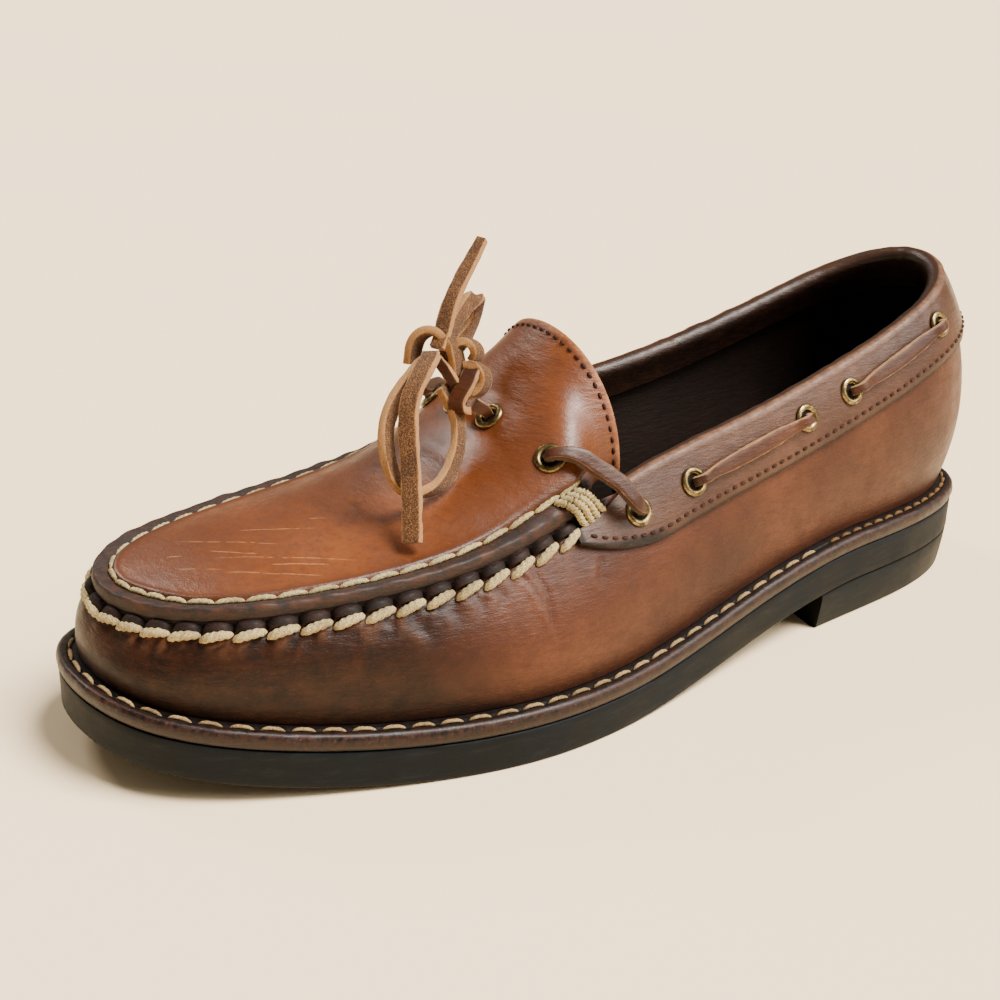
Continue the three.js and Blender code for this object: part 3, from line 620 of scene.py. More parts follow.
    def finish(self, colour, roughness, normal=None, **plain):
        """Link what varies; the plain keys are the shader's own sockets, the same all over."""
        self.link(colour, self.shader.inputs["Base Color"])
        self.link(roughness, self.shader.inputs["Roughness"])
        if normal is not None:
            self.link(normal, self.shader.inputs["Normal"])
        for key, value in plain.items():
            socket = key.replace("_", " ").title().replace("Ior", "IOR")
            self.shader.inputs[socket].default_value = value
        return self.material


def leather(name, light, body, deep, dirt_and_shade, worn, edge, shine=0.4, coat=0.25, gloss=0.2, marks=()):
    """Smooth waxed leather: cloudy colour, grain and pores, darker dirt and painted shade, lighter wear, a dyed
    cut edge.
    """
    n = Nodes(name)
    dark, wear, cut, mark = n.masks()
    cloud = n.noise(38, 3, 0.5)
    fine = n.noise(5.5, 5, 0.65)
    colour = n.ramp(cloud, (0.3, deep), (0.5, body), (0.7, light))
    colour = n.mix(n.span(fine, 0.42, 0.7, 0, 0.45), colour, deep)
    colour = n.mix(n.span(n.noise(0.9, 3, 0.7), 0.6, 0.78, 0, 0.3), colour, light)
    # the dark mask carries both dirt and painted shade
    colour = n.mix(n.times(dark, n.span(fine, 0.2, 0.8, 0.75, 1.1)), colour, dirt_and_shade)
    colour = n.mix(n.times(wear, n.span(n.noise(2.2, 4, 0.7), 0.35, 0.7, 0.2, 1.0)), colour, worn)
    for x0, y0, x1, y1, strength in marks:
        line = n.times(n.scratch(x0, y0, x1, y1), mark)
        colour = n.mix(n.times(line, strength), colour, worn)
    colour = n.mix(cut, colour, edge)
    # the fine lines of the grain run round the shoe
    strain = n.noise(1, 4, 0.6, stretch=(0.16, 0.16, 0.75))
    hair = n.noise(1, 3, 0.65, stretch=(0.5, 0.5, 2.4))
    colour = n.mix(n.span(strain, 0.48, 0.7, 0, 0.4), colour, deep)
    colour = n.mix(n.span(hair, 0.5, 0.7, 0, 0.45), colour, deep)
    colour = n.mix(n.span(hair, 0.3, 0.42, 0.25, 0), colour, light)
    skin = n.add(n.times(n.pores(0.75), 0.6), n.times(n.noise(1.6, 4, 0.6), 0.5))
    normal = n.bump(skin, 0.12, 0.6)
    normal = n.bump(strain, 0.3, 0.7, under=normal)
    normal = n.bump(hair, 0.12, 0.7, under=normal)
    normal = n.bump(n.noise(7, 3, 0.5), 0.35, 0.35, under=normal)
    rough = n.add(n.span(fine, 0.3, 0.75, shine - 0.05, shine + 0.12), n.times(cut, 0.3))
    rough = n.add(rough, n.times(wear, 0.12))
    return n.finish(colour, rough, normal, specular_ior_level=gloss, coat_weight=coat, coat_roughness=0.22)


def suede(name, light, body, deep):
    """Rough split leather: fibres that catch the light."""
    n = Nodes(name)
    cut = n.masks()[2]
    fibre = n.noise(0.34, 4, 0.7)
    colour = n.ramp(fibre, (0.28, deep), (0.5, body), (0.74, light))
    colour = n.mix(n.span(n.noise(6, 2, 0.5), 0.4, 0.7, 0, 0.4), colour, deep)
    colour = n.mix(n.times(cut, n.span(fibre, 0.3, 0.6, 0.35, 0.9)), colour, light)
    return n.finish(colour, 0.85, n.bump(fibre, 0.22, 0.9), specular_ior_level=0.15,
                    sheen_weight=0.12, sheen_roughness=0.5)


def thread_material(name, light, body, deep):
    """Waxed cord: the ply's own ridges are in the mesh, fine fibres here."""
    n = Nodes(name)
    fibre = n.noise(0.35, 3, 0.7)
    colour = n.ramp(fibre, (0.3, deep), (0.52, body), (0.7, light))
    colour = n.mix(n.span(n.noise(9, 2, 0.5), 0.45, 0.7, 0, 0.55), colour, deep)
    return n.finish(colour, 0.75, n.bump(fibre, 0.12, 0.45), specular_ior_level=0.2)


def rubber(name, body, pale, dust):
    """Dull moulded rubber, with dusty streaks along the sole's side."""
    n = Nodes(name)
    dark = n.masks()[0]
    cloud = n.noise(16, 4, 0.6)
    colour = n.ramp(cloud, (0.35, body), (0.65, pale))
    streak = n.noise(1, 4, 0.7, stretch=(0.09, 0.09, 0.6))
    colour = n.mix(n.span(streak, 0.52, 0.8, 0, 0.5), colour, dust)
    colour = n.mix(dark, colour, (8, 8, 7))
    normal = n.bump(n.noise(0.8, 4, 0.65), 0.09, 0.7)
    normal = n.bump(streak, 0.2, 0.35, under=normal)
    return n.finish(colour, n.span(cloud, 0.3, 0.7, 0.5, 0.7), normal, specular_ior_level=0.13)


def brass():
    """Old brass, stained in its low places."""
    n = Nodes("antique_brass")
    stain = n.noise(1.5, 4, 0.65)
    colour = n.ramp(stain, (0.35, (70, 58, 36)), (0.55, (132, 114, 76)), (0.75, (182, 166, 126)))
    return n.finish(colour, n.span(stain, 0.35, 0.7, 0.42, 0.26), n.bump(stain, 0.05, 0.5), metallic=1.0)


def welt_leather():
    """Dark stacked-leather edge, burnished, with rubbed and scuffed places."""
    n = Nodes("welt_leather")
    dark, wear = n.masks()[:2]
    streak = n.noise(1, 5, 0.65, stretch=(0.1, 0.1, 0.9))
    fine = n.noise(1.6, 5, 0.7)
    colour = n.ramp(streak, (0.35, (10, 5, 4)), (0.52, (20, 9, 7)), (0.72, (38, 18, 12)))
    rub = n.times(wear, n.span(fine, 0.42, 0.62))
    colour = n.mix(n.times(rub, 0.7), colour, (70, 38, 25))
    chip = n.times(wear, n.span(n.noise(0.8, 3, 0.8), 0.66, 0.72))
    colour = n.mix(chip, colour, (140, 96, 62))
    colour = n.mix(dark, colour, (11, 6, 4))
    normal = n.bump(n.add(streak, fine), 0.22, 0.7)
    return n.finish(colour, n.span(fine, 0.3, 0.7, 0.32, 0.56), normal, specular_ior_level=0.26,
                    coat_weight=0.05, coat_roughness=0.2)


SCRATCHES = [
    # x and y of both ends in the shoe's millimetres, strength: fine marks across the front of the plug
    (-13.6, -115.4, 6.8, -94.5, 0.4), (-2.2, -110.5, 7.7, -101.4, 0.5), (1.4, -111.6, 24.7, -82.4, 0.4),
    (13, -102, 22.6, -88.3, 0.5), (-0.2, -120.8, 8.6, -111.9, 0.4), (10, -112.5, 25.2, -92.4, 0.45),
    (-7.7, -120.1, -4.7, -116.7, 0.5), (-8, -100, 7, -81.9, 0.45), (-0.4, -83, 2.5, -79.4, 0.5),
]
# Each leather: light, body, deep, dirt and painted shade, worn and cut edge. The others: light, body and deep,
# from 0 to 255
TUB = leather("tub_leather", (92, 52, 32), (78, 42, 25), (56, 28, 16), (21, 9, 4),
              (138, 92, 64), (18, 12, 11), shine=0.4, coat=0.02, gloss=0.2)
TOP = leather("plug_leather", (118, 64, 30), (100, 52, 22), (78, 38, 15), (36, 16, 8),
              (200, 134, 84), (26, 18, 15), shine=0.37, coat=0.06, gloss=0.36, marks=SCRATCHES)
BAND = leather("collar_leather", (92, 60, 42), (76, 48, 33), (56, 34, 23), (18, 10, 7),
               (150, 110, 82), (12, 7, 5), shine=0.36, coat=0.04, gloss=0.26)
LINING = leather("lining_leather", (30, 14, 6), (22, 10, 4), (13, 6, 3), (6, 3, 2),
                 (42, 21, 10), (24, 12, 6), shine=0.65, coat=0.0)
FOOTBED = leather("footbed_leather", (60, 37, 22), (46, 27, 16), (31, 18, 11), (16, 9, 6),
                  (80, 52, 32), (30, 18, 11), shine=0.6, coat=0.0)
CUT_EDGE = suede("raw_edge", (126, 92, 64), (80, 50, 33), (34, 20, 14))
THONG = suede("lace_rawhide", (172, 126, 78), (80, 50, 28), (27, 14, 8))
# a darker copy of the thong suede: painted shade on the cross strap's edge and underside
THONG_SHADED_EDGE = suede("lace_edge_painted_shade", (70, 45, 27), (34, 20, 12), (14, 8, 5))
THONG_SMOOTH = leather("lace_grain", (88, 51, 30), (68, 37, 21), (44, 22, 13), (22, 11, 7),
                       (124, 82, 54), (118, 80, 48), shine=0.42, coat=0.15)
CREAM = thread_material("cream_thread", (214, 200, 152), (172, 154, 110), (80, 62, 38))
WELT_THREAD = thread_material("welt_thread", (190, 166, 122), (146, 120, 82), (64, 46, 28))
TAN = thread_material("tan_thread", (140, 106, 62), (100, 72, 41), (44, 29, 17))
DARK_THREAD = thread_material("dark_thread", (100, 57, 41), (52, 28, 19), (20, 10, 8))
# Rubber: body, pale, dust
RUBBER = rubber("outsole_rubber", (9, 13, 16), (15, 20, 24), (33, 39, 42))
HEEL_RUBBER = rubber("heel_rubber", (10, 14, 16), (16, 22, 25), (34, 40, 43))
WELT_LEATHER = welt_leather()
BRASS = brass()
# a near-black leather for the disc across each eyelet's hole: painted shade
HOLE_SHADE = leather("eyelet_hole_shade", (14, 9, 7), (10, 7, 5), (6, 4, 3), (5, 3, 3),
               (16, 11, 8), (10, 7, 5), shine=0.8, coat=0.0)


# The camera, from a fit of the photograph
CAMERA = dict(target=(-13.478, -12.705, 40.0), azimuth=54.797, elevation=22.653, roll=1.679, distance=459.871)
LENS = 56.055
SENSOR = 36


def add_camera():
    a, e, r = (math.radians(CAMERA[k]) for k in ("azimuth", "elevation", "roll"))
    back = np.array((math.sin(a) * math.cos(e), -math.cos(a) * math.cos(e), math.sin(e)))
    right = np.array((math.cos(a), math.sin(a), 0))
    rise = np.cross(back, right)
    right, rise = right * math.cos(r) + rise * math.sin(r), rise * math.cos(r) - right * math.sin(r)
    eye = to_frame(np.array(CAMERA["target"]) + back * CAMERA["distance"])
    data = bpy.data.cameras.new("camera")
    data.lens = LENS
    data.sensor_width = SENSOR
    data.clip_start = 0.01
    camera = bpy.data.objects.new("camera", data)
    bpy.context.scene.collection.objects.link(camera)
    turn = Matrix([right, rise, back]).transposed().to_4x4()
    camera.matrix_world = Matrix.Translation(Vector(eye)) @ turn
    bpy.context.scene.camera = camera


# The studio's lamps: azimuth, elevation and spread in degrees, power. Azimuth 0 stands in front of the toe and
# 90 on the little-toe side.
LAMPS = dict(top=(128, 62, 26, 7.8), right=(136, 36, 40, 3.2), left=(-78, 41, 18, 1.3))
LAMP_COLOUR = (1.0, 0.945, 0.875)
FLOOR_HALF = 30.0  # metres
SKY_STRENGTH = 0.32


def add_softbox(name, azimuth, elevation, spread, power):
    """A far, wide and soft lamp."""
    data = bpy.data.lights.new(name, "SUN")
    data.angle = math.radians(spread)
    data.energy = power
    data.color = LAMP_COLOUR
    light = bpy.data.objects.new(name, data)
    bpy.context.scene.collection.objects.link(light)
    a, e = math.radians(azimuth), math.radians(elevation)
    towards = Vector((math.sin(a) * math.cos(e), -math.cos(a) * math.cos(e), math.sin(e)))
    light.location = towards
    light.rotation_mode = "QUATERNION"
    light.rotation_quaternion = towards.to_track_quat("Z", "Y")


def add_stage():
    n = Nodes("studio_floor")
    colour = n.ramp(n.noise(700, 2, 0.4), (0.3, (253, 228, 188)), (0.7, (255, 231, 192)))
    mesh = bpy.data.meshes.new("floor")
    corners = [(x * FLOOR_HALF, y * FLOOR_HALF, 0) for x, y in ((-1, -1), (1, -1), (1, 1), (-1, 1))]
    mesh.from_pydata(corners, [], [(0, 1, 2, 3)])
    mesh.materials.append(n.finish(colour, 0.9, specular_ior_level=0.1))
    floor = bpy.data.objects.new("floor", mesh)
    bpy.context.scene.collection.objects.link(floor)
    world = bpy.data.worlds.new("studio")
    bpy.context.scene.world = world
    world.use_nodes = True
    sky = world.node_tree.nodes["Background"]
    sky.inputs["Color"].default_value = (*tint((236, 226, 210)), 1)
    sky.inputs["Strength"].default_value = SKY_STRENGTH
    for name, lamp in LAMPS.items():
        add_softbox(name, *lamp)


# The tub
CREASES = [
    # station and height share of the top end, of the bottom end, width mm, depth mm
    (3.83, 0.94, 3.945, 0.417, 0.9, 0.42),
    (3.695, 0.98, 3.907, 0.57, 0.8, 0.3),
    (3.505, 0.93, 3.526, 0.766, 1.5, 0.3),
    (3.29, 1.0, 3.345, 0.755, 1.5, 0.32),
    (3.08, 1.0, 3.15, 0.687, 1.6, 0.28),
    (2.93, 1.0, 3.015, 0.85, 1.5, 0.3),
    (2.767, 0.99, 2.954, 0.609, 1.8, 0.32),
    (2.6, 1.0, 2.67, 0.81, 1.5, 0.22),
    (4.37, 0.75, 4.385, 0.578, 1.6, 0.3),
    (3.455, 0.447, 3.625, 0.424, 0.6, 0.12),
    (0.636, 0.92, 0.603, 0.755, 0.9, 0.2),
    (0.823, 0.94, 0.795, 0.63, 0.9, 0.2),
    (0.943, 0.96, 0.913, 0.745, 0.9, 0.2),
    (1.09, 1.0, 1.078, 0.8, 0.9, 0.22),
    (1.41, 1.0, 1.343, 0.82, 1.0, 0.22),
    (1.6, 1.0, 1.592, 0.79, 1.0, 0.2),
    (1.736, 0.97, 1.74, 0.77, 0.9, 0.2),
    (-3.8, 0.94, -3.93, 0.45, 1.6, 0.7),
    (-3.62, 0.97, -3.84, 0.56, 1.4, 0.45),
    (-3.3, 1.0, -3.37, 0.74, 1.8, 0.4),
    (-3.02, 1.0, -3.1, 0.7, 1.8, 0.35),
    (-2.7, 0.99, -2.85, 0.62, 1.8, 0.3),
]
STATION_MM, WALL_MM = 38.0, 44.0  # about how long one station is, and how tall the wall
CREASE_BEND = 0.7


def crease_depth(u, v):
    """How far the wall sinks in millimetres: the listed creases, each a trough with a soft ridge beside it."""
    total = np.zeros(np.broadcast(u, v).shape)
    for u0, v0, u1, v1, wide, deep in CREASES:
        start, end = np.array((u0 * STATION_MM, v0 * WALL_MM)), np.array((u1 * STATION_MM, v1 * WALL_MM))
        line = end - start
        px, py = u * STATION_MM - start[0], v * WALL_MM - start[1]
        share = (px * line[0] + py * line[1]) / (line @ line)
        inside = smooth((share + 0.15) / 0.3) * smooth((1.15 - share) / 0.5)
        side = (px * line[1] - py * line[0]) / np.linalg.norm(line)
        side = side + CREASE_BEND * np.sin(share * 7 + u0 * 3)
        trough = hump(side, 0, wide) - 0.6 * hump(side, 1.7 * wide, 1.2 * wide)
        total += deep * inside * trough
    return total


# The gathers above the thread: how far each stands out, how deep the gaps are, and where both fade to the rim
GATHER = dict(stand=3.1, sink=1.2, fade_from=0.72)
PUCKER = 0.6
WRINKLES = dict(fine=0.26, fine_pitch=2.2, wide=0.3, wide_pitch=5.1)
RIM_LIFT = 0.7  # mm that the gathered rim rises to the plug


def tub_relief(u, v):
    """How far the wall stands out: gathers above the thread; puckers, wrinkles and creases below it."""
    share, s, below = seam_share(u), seam_length(u), v <= 1
    part = clamp(v - 1)
    across = 2 * np.mod(s / SEAM["pitch"], 1) - 1
    dome = np.sqrt(np.maximum(0, 1 - np.abs(across) ** 2.4 - (0.86 * part) ** 2.4))
    bulge = np.where(v > 1, (GATHER["stand"] * dome - GATHER["sink"]) * smooth(part / 0.12 + 0.25), 0)
    bulge *= 1 - smooth((part - GATHER["fade_from"]) / (1 - GATHER["fade_from"]))
    gathered = np.sqrt(np.maximum(0, 1 - across**4))
    puckers = (0.5 - gathered) * PUCKER * smooth((v - 0.84) / 0.16) * below
    strength = 0.35 + 0.65 * clamp(1 - from_toe(u) / 4.6) + 0.25 * ripple(s / 17, 5)
    lines = ripple(s / WRINKLES["fine_pitch"] + 1.5 * (1 - v), 3) * WRINKLES["fine"]
    lines = lines + ripple(s / WRINKLES["wide_pitch"] - 2.0 * (1 - v), 8) * WRINKLES["wide"]
    wrinkle = lines * strength * smooth((v - 0.62) / 0.33) * below
    return share * (bulge - puckers + wrinkle) - crease_depth(signed_station(u), v) * share * below


def tub_masks(u, v, relief):
    """Painted shade on the forepart's side and in the wrinkles' troughs; darker at the foot, towards the thread
    and low at the front; light ridges; a dyed edge above the thread.
    """
    share, toe, below = seam_share(u), from_toe(u), v <= 1
    # darker at the foot, and painted shade in the troughs of wrinkles and creases
    dark = 0.55 * smooth((0.16 - v) / 0.16) + 0.5 * clamp(-relief * 1.4) * below
    dark += 0.25 * smooth((v - 0.8) / 0.2) * share
    # painted shade on the forepart's side, strongest low on the wall
    forepart_shade = smooth((3.9 - toe) / 1.5) * (0.6 + 0.4 * smooth(toe / 0.9))
    dark += 1.3 * forepart_shade * (0.85 + 0.15 * smooth((0.6 - v) / 0.4)) * below
    dark += 0.22 * smooth((0.3 - v) / 0.3) * smooth((7.5 - toe) / 2)
    wear = clamp(relief * 1.8) * (v <= 0.98) * smooth((v - 0.5) / 0.3) * 0.8
    return masks(relief.shape, clamp(dark), clamp(wear), clamp((v > 1) * share))


def tub():
    forepart = seam_station(np.arange(-176, 176.5, 0.8))
    behind = np.linspace(forepart[-1], TURN + forepart[0], 190)[1:-1]
    u = np.concatenate([forepart, behind])[:, None]
    climb = np.concatenate([np.linspace(0, 0.7, 22), np.linspace(0.72, 1, 13)[:-1]])
    v = np.concatenate([climb, np.linspace(1, 2, 8)])[None, :]
    relief = tub_relief(u, v)
    soft = 0.25 * grain(signed_station(u) * 1.7, v * 3.1, 4) * smooth((1 - np.abs(2 * clamp(v) - 1)) * 2)
    outer = wall_offset(u, v, relief + soft)
    inner = wall_offset(u, np.append(v[:, ::-1][:, ::3], [[0.0]], 1), -WALL)
    lift = UP * col(RIM_LIFT * seam_share(u[:, 0]))
    outer[:, -1] += lift
    inner[:, 0] += lift
    outer[:, 0, 2] = upper_bottom(outer[:, 0, 1])
    inner[:, -1, 2] = upper_bottom(inner[:, -1, 1])
    points = np.concatenate([outer, inner], 1)
    rows, cols = points.shape[:2]
    faces = loft_faces(rows, cols, close_rows=True, close_cols=True)
    which = ((faces % cols).min(1) >= outer.shape[1]).astype(int)
    paint = np.concatenate([tub_masks(u, v, relief), np.zeros((*inner.shape[:2], 4))], 1)
    piece = make_mesh("tub", points, faces, [TUB, LINING], paint=paint, which=which)
    return place_piece(piece, "upper", "upper")


# The plug and tongue
PLUG_CURL = 0.9  # mm that the plug's raw edge stands up
GROOVE_AT = 5.0  # mm from the plug's edge to the groove of its thread
# where the plug's rim and groove have points, in mm from its edge
RIM_STEPS = np.array([0, 0.35, 0.9, 1.6, 2.4, 3.2, 4.0, 4.5, 5.0, 5.5, 6.0, 6.8])
TONGUE_CREASES = [
    # y where a soft fold crosses the middle, width mm, depth mm
    (-34, 1.5, 0.35), (-26, 1.2, 0.25), (-44, 2.2, 0.3),
]


def tongue_creases(points):
    """Soft folds that cross the tongue, from their place on the middle line."""
    total = np.zeros(points.shape[:-1])
    for y, wide, deep in TONGUE_CREASES:
        bent = points[..., 1] - y + 0.006 * (points[..., 0] - 2) ** 2
        total -= deep * hump(bent, 0, wide) * hump(points[..., 0], 6, 17)
    return total


def plug_relief(u, away):
    """How far the top stands out at a distance from its edge: the raw, scalloped rim and the thread's groove."""
    share, s = seam_share(u), seam_length(u)
    groove = -PLUG["groove"] * hump(away, GROOVE_AT, 0.75)
    rounding = -0.6 * np.exp(-away / 0.35)
    curl = PLUG_CURL * (1 - smooth((away - 0.3) / 3.9)) - 0.35 * hump(away, 4.0, 1.2)
    curl = curl + 0.22 * ripple(s / 4.3, 14) * smooth((3.5 - away) / 3)
    pull = np.mod(s / SEAM["pitch"] + 0.5, 1)
    scallop = -0.35 * hump(away, 2.0, 3.0) * (np.cos(2 * np.pi * pull) * 0.5 + 0.5)
    beyond = 0.3 * hump(away, 6.6, 1.1)
    tongue_edge = 0.5 * np.exp(-away / 0.5)
    return share * (groove + rounding + curl + scallop + beyond) - (1 - share) * tongue_edge


def plug_masks(u, away, top):
    """Darker beside the groove and at the toe, painted shade in the tongue's tucks; a dyed, worn rim; where
    scratches may be.
    """
    share = seam_share(u)
    tongue_end = smooth((np.abs(u) - 4.87) / 0.02)
    tuck = smooth((np.abs(u) - 4.35) / 0.2) * smooth((7 - away) / 4)
    # painted shade in the tucks, where the tongue goes under the collar
    dark = 0.5 * hump(away, 6.2, 1.6) * share + 0.6 * tuck + 0.25 * smooth((-100 - top[..., 1]) / 25)
    worn = share * smooth((1.3 - away) / 0.8) * clamp(0.1 + 0.35 * ripple(seam_length(u) / 2.1, 12))
    worn = np.maximum(worn, tongue_end)
    rim = share * smooth((4.7 - away) / 0.5)
    before_tongue = 1 - smooth((from_toe(u) - SEAM["end_u"]) / 0.1)
    return masks(u.shape, clamp(dark), worn, clamp(rim - 0.45 * worn), before_tongue * smooth((away - 8) / 2))


def tongue_end_faces(row, cols, top_count, flip):
    """Faces of the tongue's cut end, between its top and its underside, on one half."""
    made = []
    for j in range(top_count - 1):
        a, b = row * cols + (top_count - 1 - j), row * cols + (top_count - 2 - j)
        x, y = row * cols + top_count + 1 + j, row * cols + top_count + 2 + j
        made.append([a, b, y, x] if flip else [a, x, y, b])
    made.append([row * cols + top_count + k for k in (-1, 0, 1)][:: 1 if flip else -1])
    return made


def plug_tongue():
    toe, long_side, end = np.linspace(0, 1.2, 22), np.linspace(1.2, 4.2, 110), np.linspace(4.2, PLUG["end_u"], 34)
    side = np.concatenate([toe[:-1], long_side[:-1], end])
    u = np.concatenate([-side[::-1], side[1:]])[:, None]
    per = plug_share_at(u, 1.0)
    last = RIM_STEPS[-1] * per
    w = np.concatenate([RIM_STEPS * per, last + (1 - last) * np.linspace(0, 1, 30)[1:] ** 0.9], 1)
    u = np.broadcast_to(u, w.shape)
    away = w / per
    normal = plug_normal(u, w)
    top = plug_offset(u, w, plug_relief(u, away))
    top += normal * col(grain(top[..., 0] / 16, top[..., 1] / 16, 2) * 0.18 * smooth((away - 6) / 8))
    top += normal * col(tongue_creases(top))
    blend = clamp(away / 6 + 1 - seam_share(u))[..., None]
    down = unit(UP * (1 - blend) + normal * blend)
    under = plug_point(u, w) - down * PLUG["thick"]
    middle = (top[:, :1] + under[:, :1]) / 2 + outward(u[:, :1]) * 0.25
    # from the ridge's top, out over the edge, and back under to the ridge
    points = np.concatenate([top[:, ::-1], middle, under], 1)
    rows, cols = points.shape[:2]
    count = top.shape[1]
    faces = loft_faces(rows, cols).tolist()
    ends = tongue_end_faces(0, cols, count, False) + tongue_end_faces(rows - 1, cols, count, True)
    which = [0] * len(faces) + [1] * len(ends)
    hidden = masks((rows, cols - count), edge=1.0)
    paint = np.concatenate([plug_masks(u, away, top)[:, ::-1], hidden], 1)
    materials = [TOP, CUT_EDGE]
    piece = make_mesh("plug_tongue", points, faces + ends, materials, paint=paint, which=which, weld=True)
    return place_piece(piece, "plug_and_tongue", "plug_and_tongue")


# The collar
SKIN_STEPS = 16
FOLD_STEPS = 12


def collar_layer(u, skin_v, off, radius, relief):
    """One face of the band: up the outside, over the topline in a round, and down the inside."""
    normal = wall_normal(u, 1.0)
    upward = unit(UP - normal * col(normal @ UP))
    centre = wall_offset(u, 2 - seam_share(u), -WALL / 2)
    angle = np.radians(np.linspace(0, 180, FOLD_STEPS + 1))[None, 1:]
    skin = wall_offset(u, skin_v, off + relief * smooth(np.linspace(0, 1, SKIN_STEPS))[None, :])
    reach = radius + relief
    roll = centre + normal * col(reach * np.cos(angle)) + upward * col(reach * np.sin(angle))
    depth = np.array([0.1, 0.35, 0.65, 1])[None, :] * COLLAR["fold_inside"]
    inside = wall_offset(u, wall_share_at(u, top_z(u) - ROLL - depth), -WALL - off)
    # the fold starts behind the front corner: in front of it the band ends at the topline
    folded = (from_toe(u) >= COLLAR_FOLD_FROM)[..., None]
    topline = skin[:, -1:]
    return skin, np.where(folded, roll, topline), np.where(folded, inside, topline)


def collar_masks(span, cols, inside_cols):
    """A dyed lower edge, wear on the fold, and painted shade over the roll's inner half and down inside it."""
    paint = np.zeros((len(span), cols, 4))
    front = smooth((5.1 - from_toe(span)) / 0.3)[:, None]
    height = np.linspace(0, 1, SKIN_STEPS)
    paint[:, :SKIN_STEPS, 0] = (0.35 + 0.6 * front) * smooth((0.16 - height) / 0.16)
    paint[:, 0, 2] = 1
    paint[:, 1:3, 2] = front * 0.9
    paint[:, -1, 2] = 1
    paint[:, SKIN_STEPS : SKIN_STEPS + 3, 1] = 0.5
    # painted shade: the roll's inner half and the inside of the fold are darkened
    paint[:, SKIN_STEPS + 3 : SKIN_STEPS + 8, 0] = 0.7
    paint[:, SKIN_STEPS + 8 : SKIN_STEPS + FOLD_STEPS + inside_cols, 0] = 1.0
    ends = (span < COLLAR["from_u"] + 0.03) | (span > TURN - COLLAR["from_u"] - 0.03)
    paint[ends, :, 2] = 1
    return paint


def collar():
    span = np.linspace(COLLAR["from_u"], TURN - COLLAR["from_u"], 420)
    u = span[:, None]
    lowest = wall_share_at(u, top_z(u) - collar_depth(u))
    skin_v = lerp(lowest, 1, np.linspace(0, 1, SKIN_STEPS)[None, :])
    along = line_length(wall_point(span, 1.0))[:, None]
    pucker = 0.12 * ripple(along / 3.1, 6) + 0.1 * ripple(along / 7.3, 7)
    skin, roll, inside = collar_layer(u, skin_v, GAP + COLLAR["thick"], ROLL, pucker)
    back, back_roll, back_inside = collar_layer(u, skin_v, GAP, GAP + WALL / 2, 0 * pucker)
    lip = wall_offset(u, skin_v[:, :1], GAP + COLLAR["thick"] * 0.5)
    lip[..., 2] -= 0.35
    skin[:, 0] = lerp(skin[:, 0], back[:, 0], 0.18)
    loops = [skin, roll, inside, back_inside[:, ::-1], back_roll[:, ::-1], back[:, ::-1], lip]
    points = np.concatenate(loops, 1)
    rows, cols = points.shape[:2]
    faces = loft_faces(rows, cols, close_cols=True).tolist() + end_faces(rows, cols)
    paint = collar_masks(span, cols, inside.shape[1])
    piece = make_mesh("collar_band", points, faces, [BAND], paint=paint, which=[0] * len(faces), weld=True)
    return place_piece(piece, "collar", "collar")


def back_stay():
    u = np.linspace(STAY["from_u"], TURN - STAY["from_u"], 33)[:, None]
    high = wall_share_at(u, top_z(u) - collar_depth(u) - 2 * GAP)
    v = lerp(0.02, high, np.linspace(0, 1, 50)[None, :])
    across = np.abs(np.linspace(-1, 1, 33))[:, None]
    rounding = -0.9 * clamp((across - 0.86) / 0.14) ** 2
    front = wall_offset(u, v, GAP + STAY["thick"] + rounding)
    back = wall_offset(u, v, GAP)
    points = np.concatenate([front, back[:, ::-1]], 1)
    rows, cols = points.shape[:2]
    faces = loft_faces(rows, cols, close_cols=True).tolist() + end_faces(rows, cols)
    paint = masks((rows, cols), dark=0.4, edge=smooth((across - 0.84) / 0.1))
    piece = make_mesh("heel_stay", points, faces, [BAND], paint=paint)
    return place_piece(piece, "back_stay", "back_stay")


# The bottom
SOLE_U = np.linspace(0, TURN, 521)[:-1]


def ladder(count, first):
    """Faces across a sole's loop of points, from each one to its fellow on the other side."""
    rungs = [[i, i + 1, count - 1 - i, (count - i) % count] for i in range(count // 2)]
    return [[first + k for k in dict.fromkeys(rung)] for rung in rungs if len(set(rung)) > 2]


def stacked(name, loops, materials, paint, sharp=50.0, flat_ends=False):
    """A closed body from loops of points, its ends closed across."""
    points = np.stack(loops)
    rows, cols = points.shape[:2]
    faces = loft_faces(rows, cols, close_cols=True, flip=True).tolist()
    if flat_ends:
        caps = [face[::-1] for face in end_faces(rows, cols)]
    else:
        caps = [face[::-1] for face in ladder(cols, 0)] + ladder(cols, (rows - 1) * cols)
    return make_mesh(name, points, faces + caps, materials, paint=paint, sharp=sharp)


WELT_GROOVE = 2.95  # mm from the welt's edge to the groove of its stitches


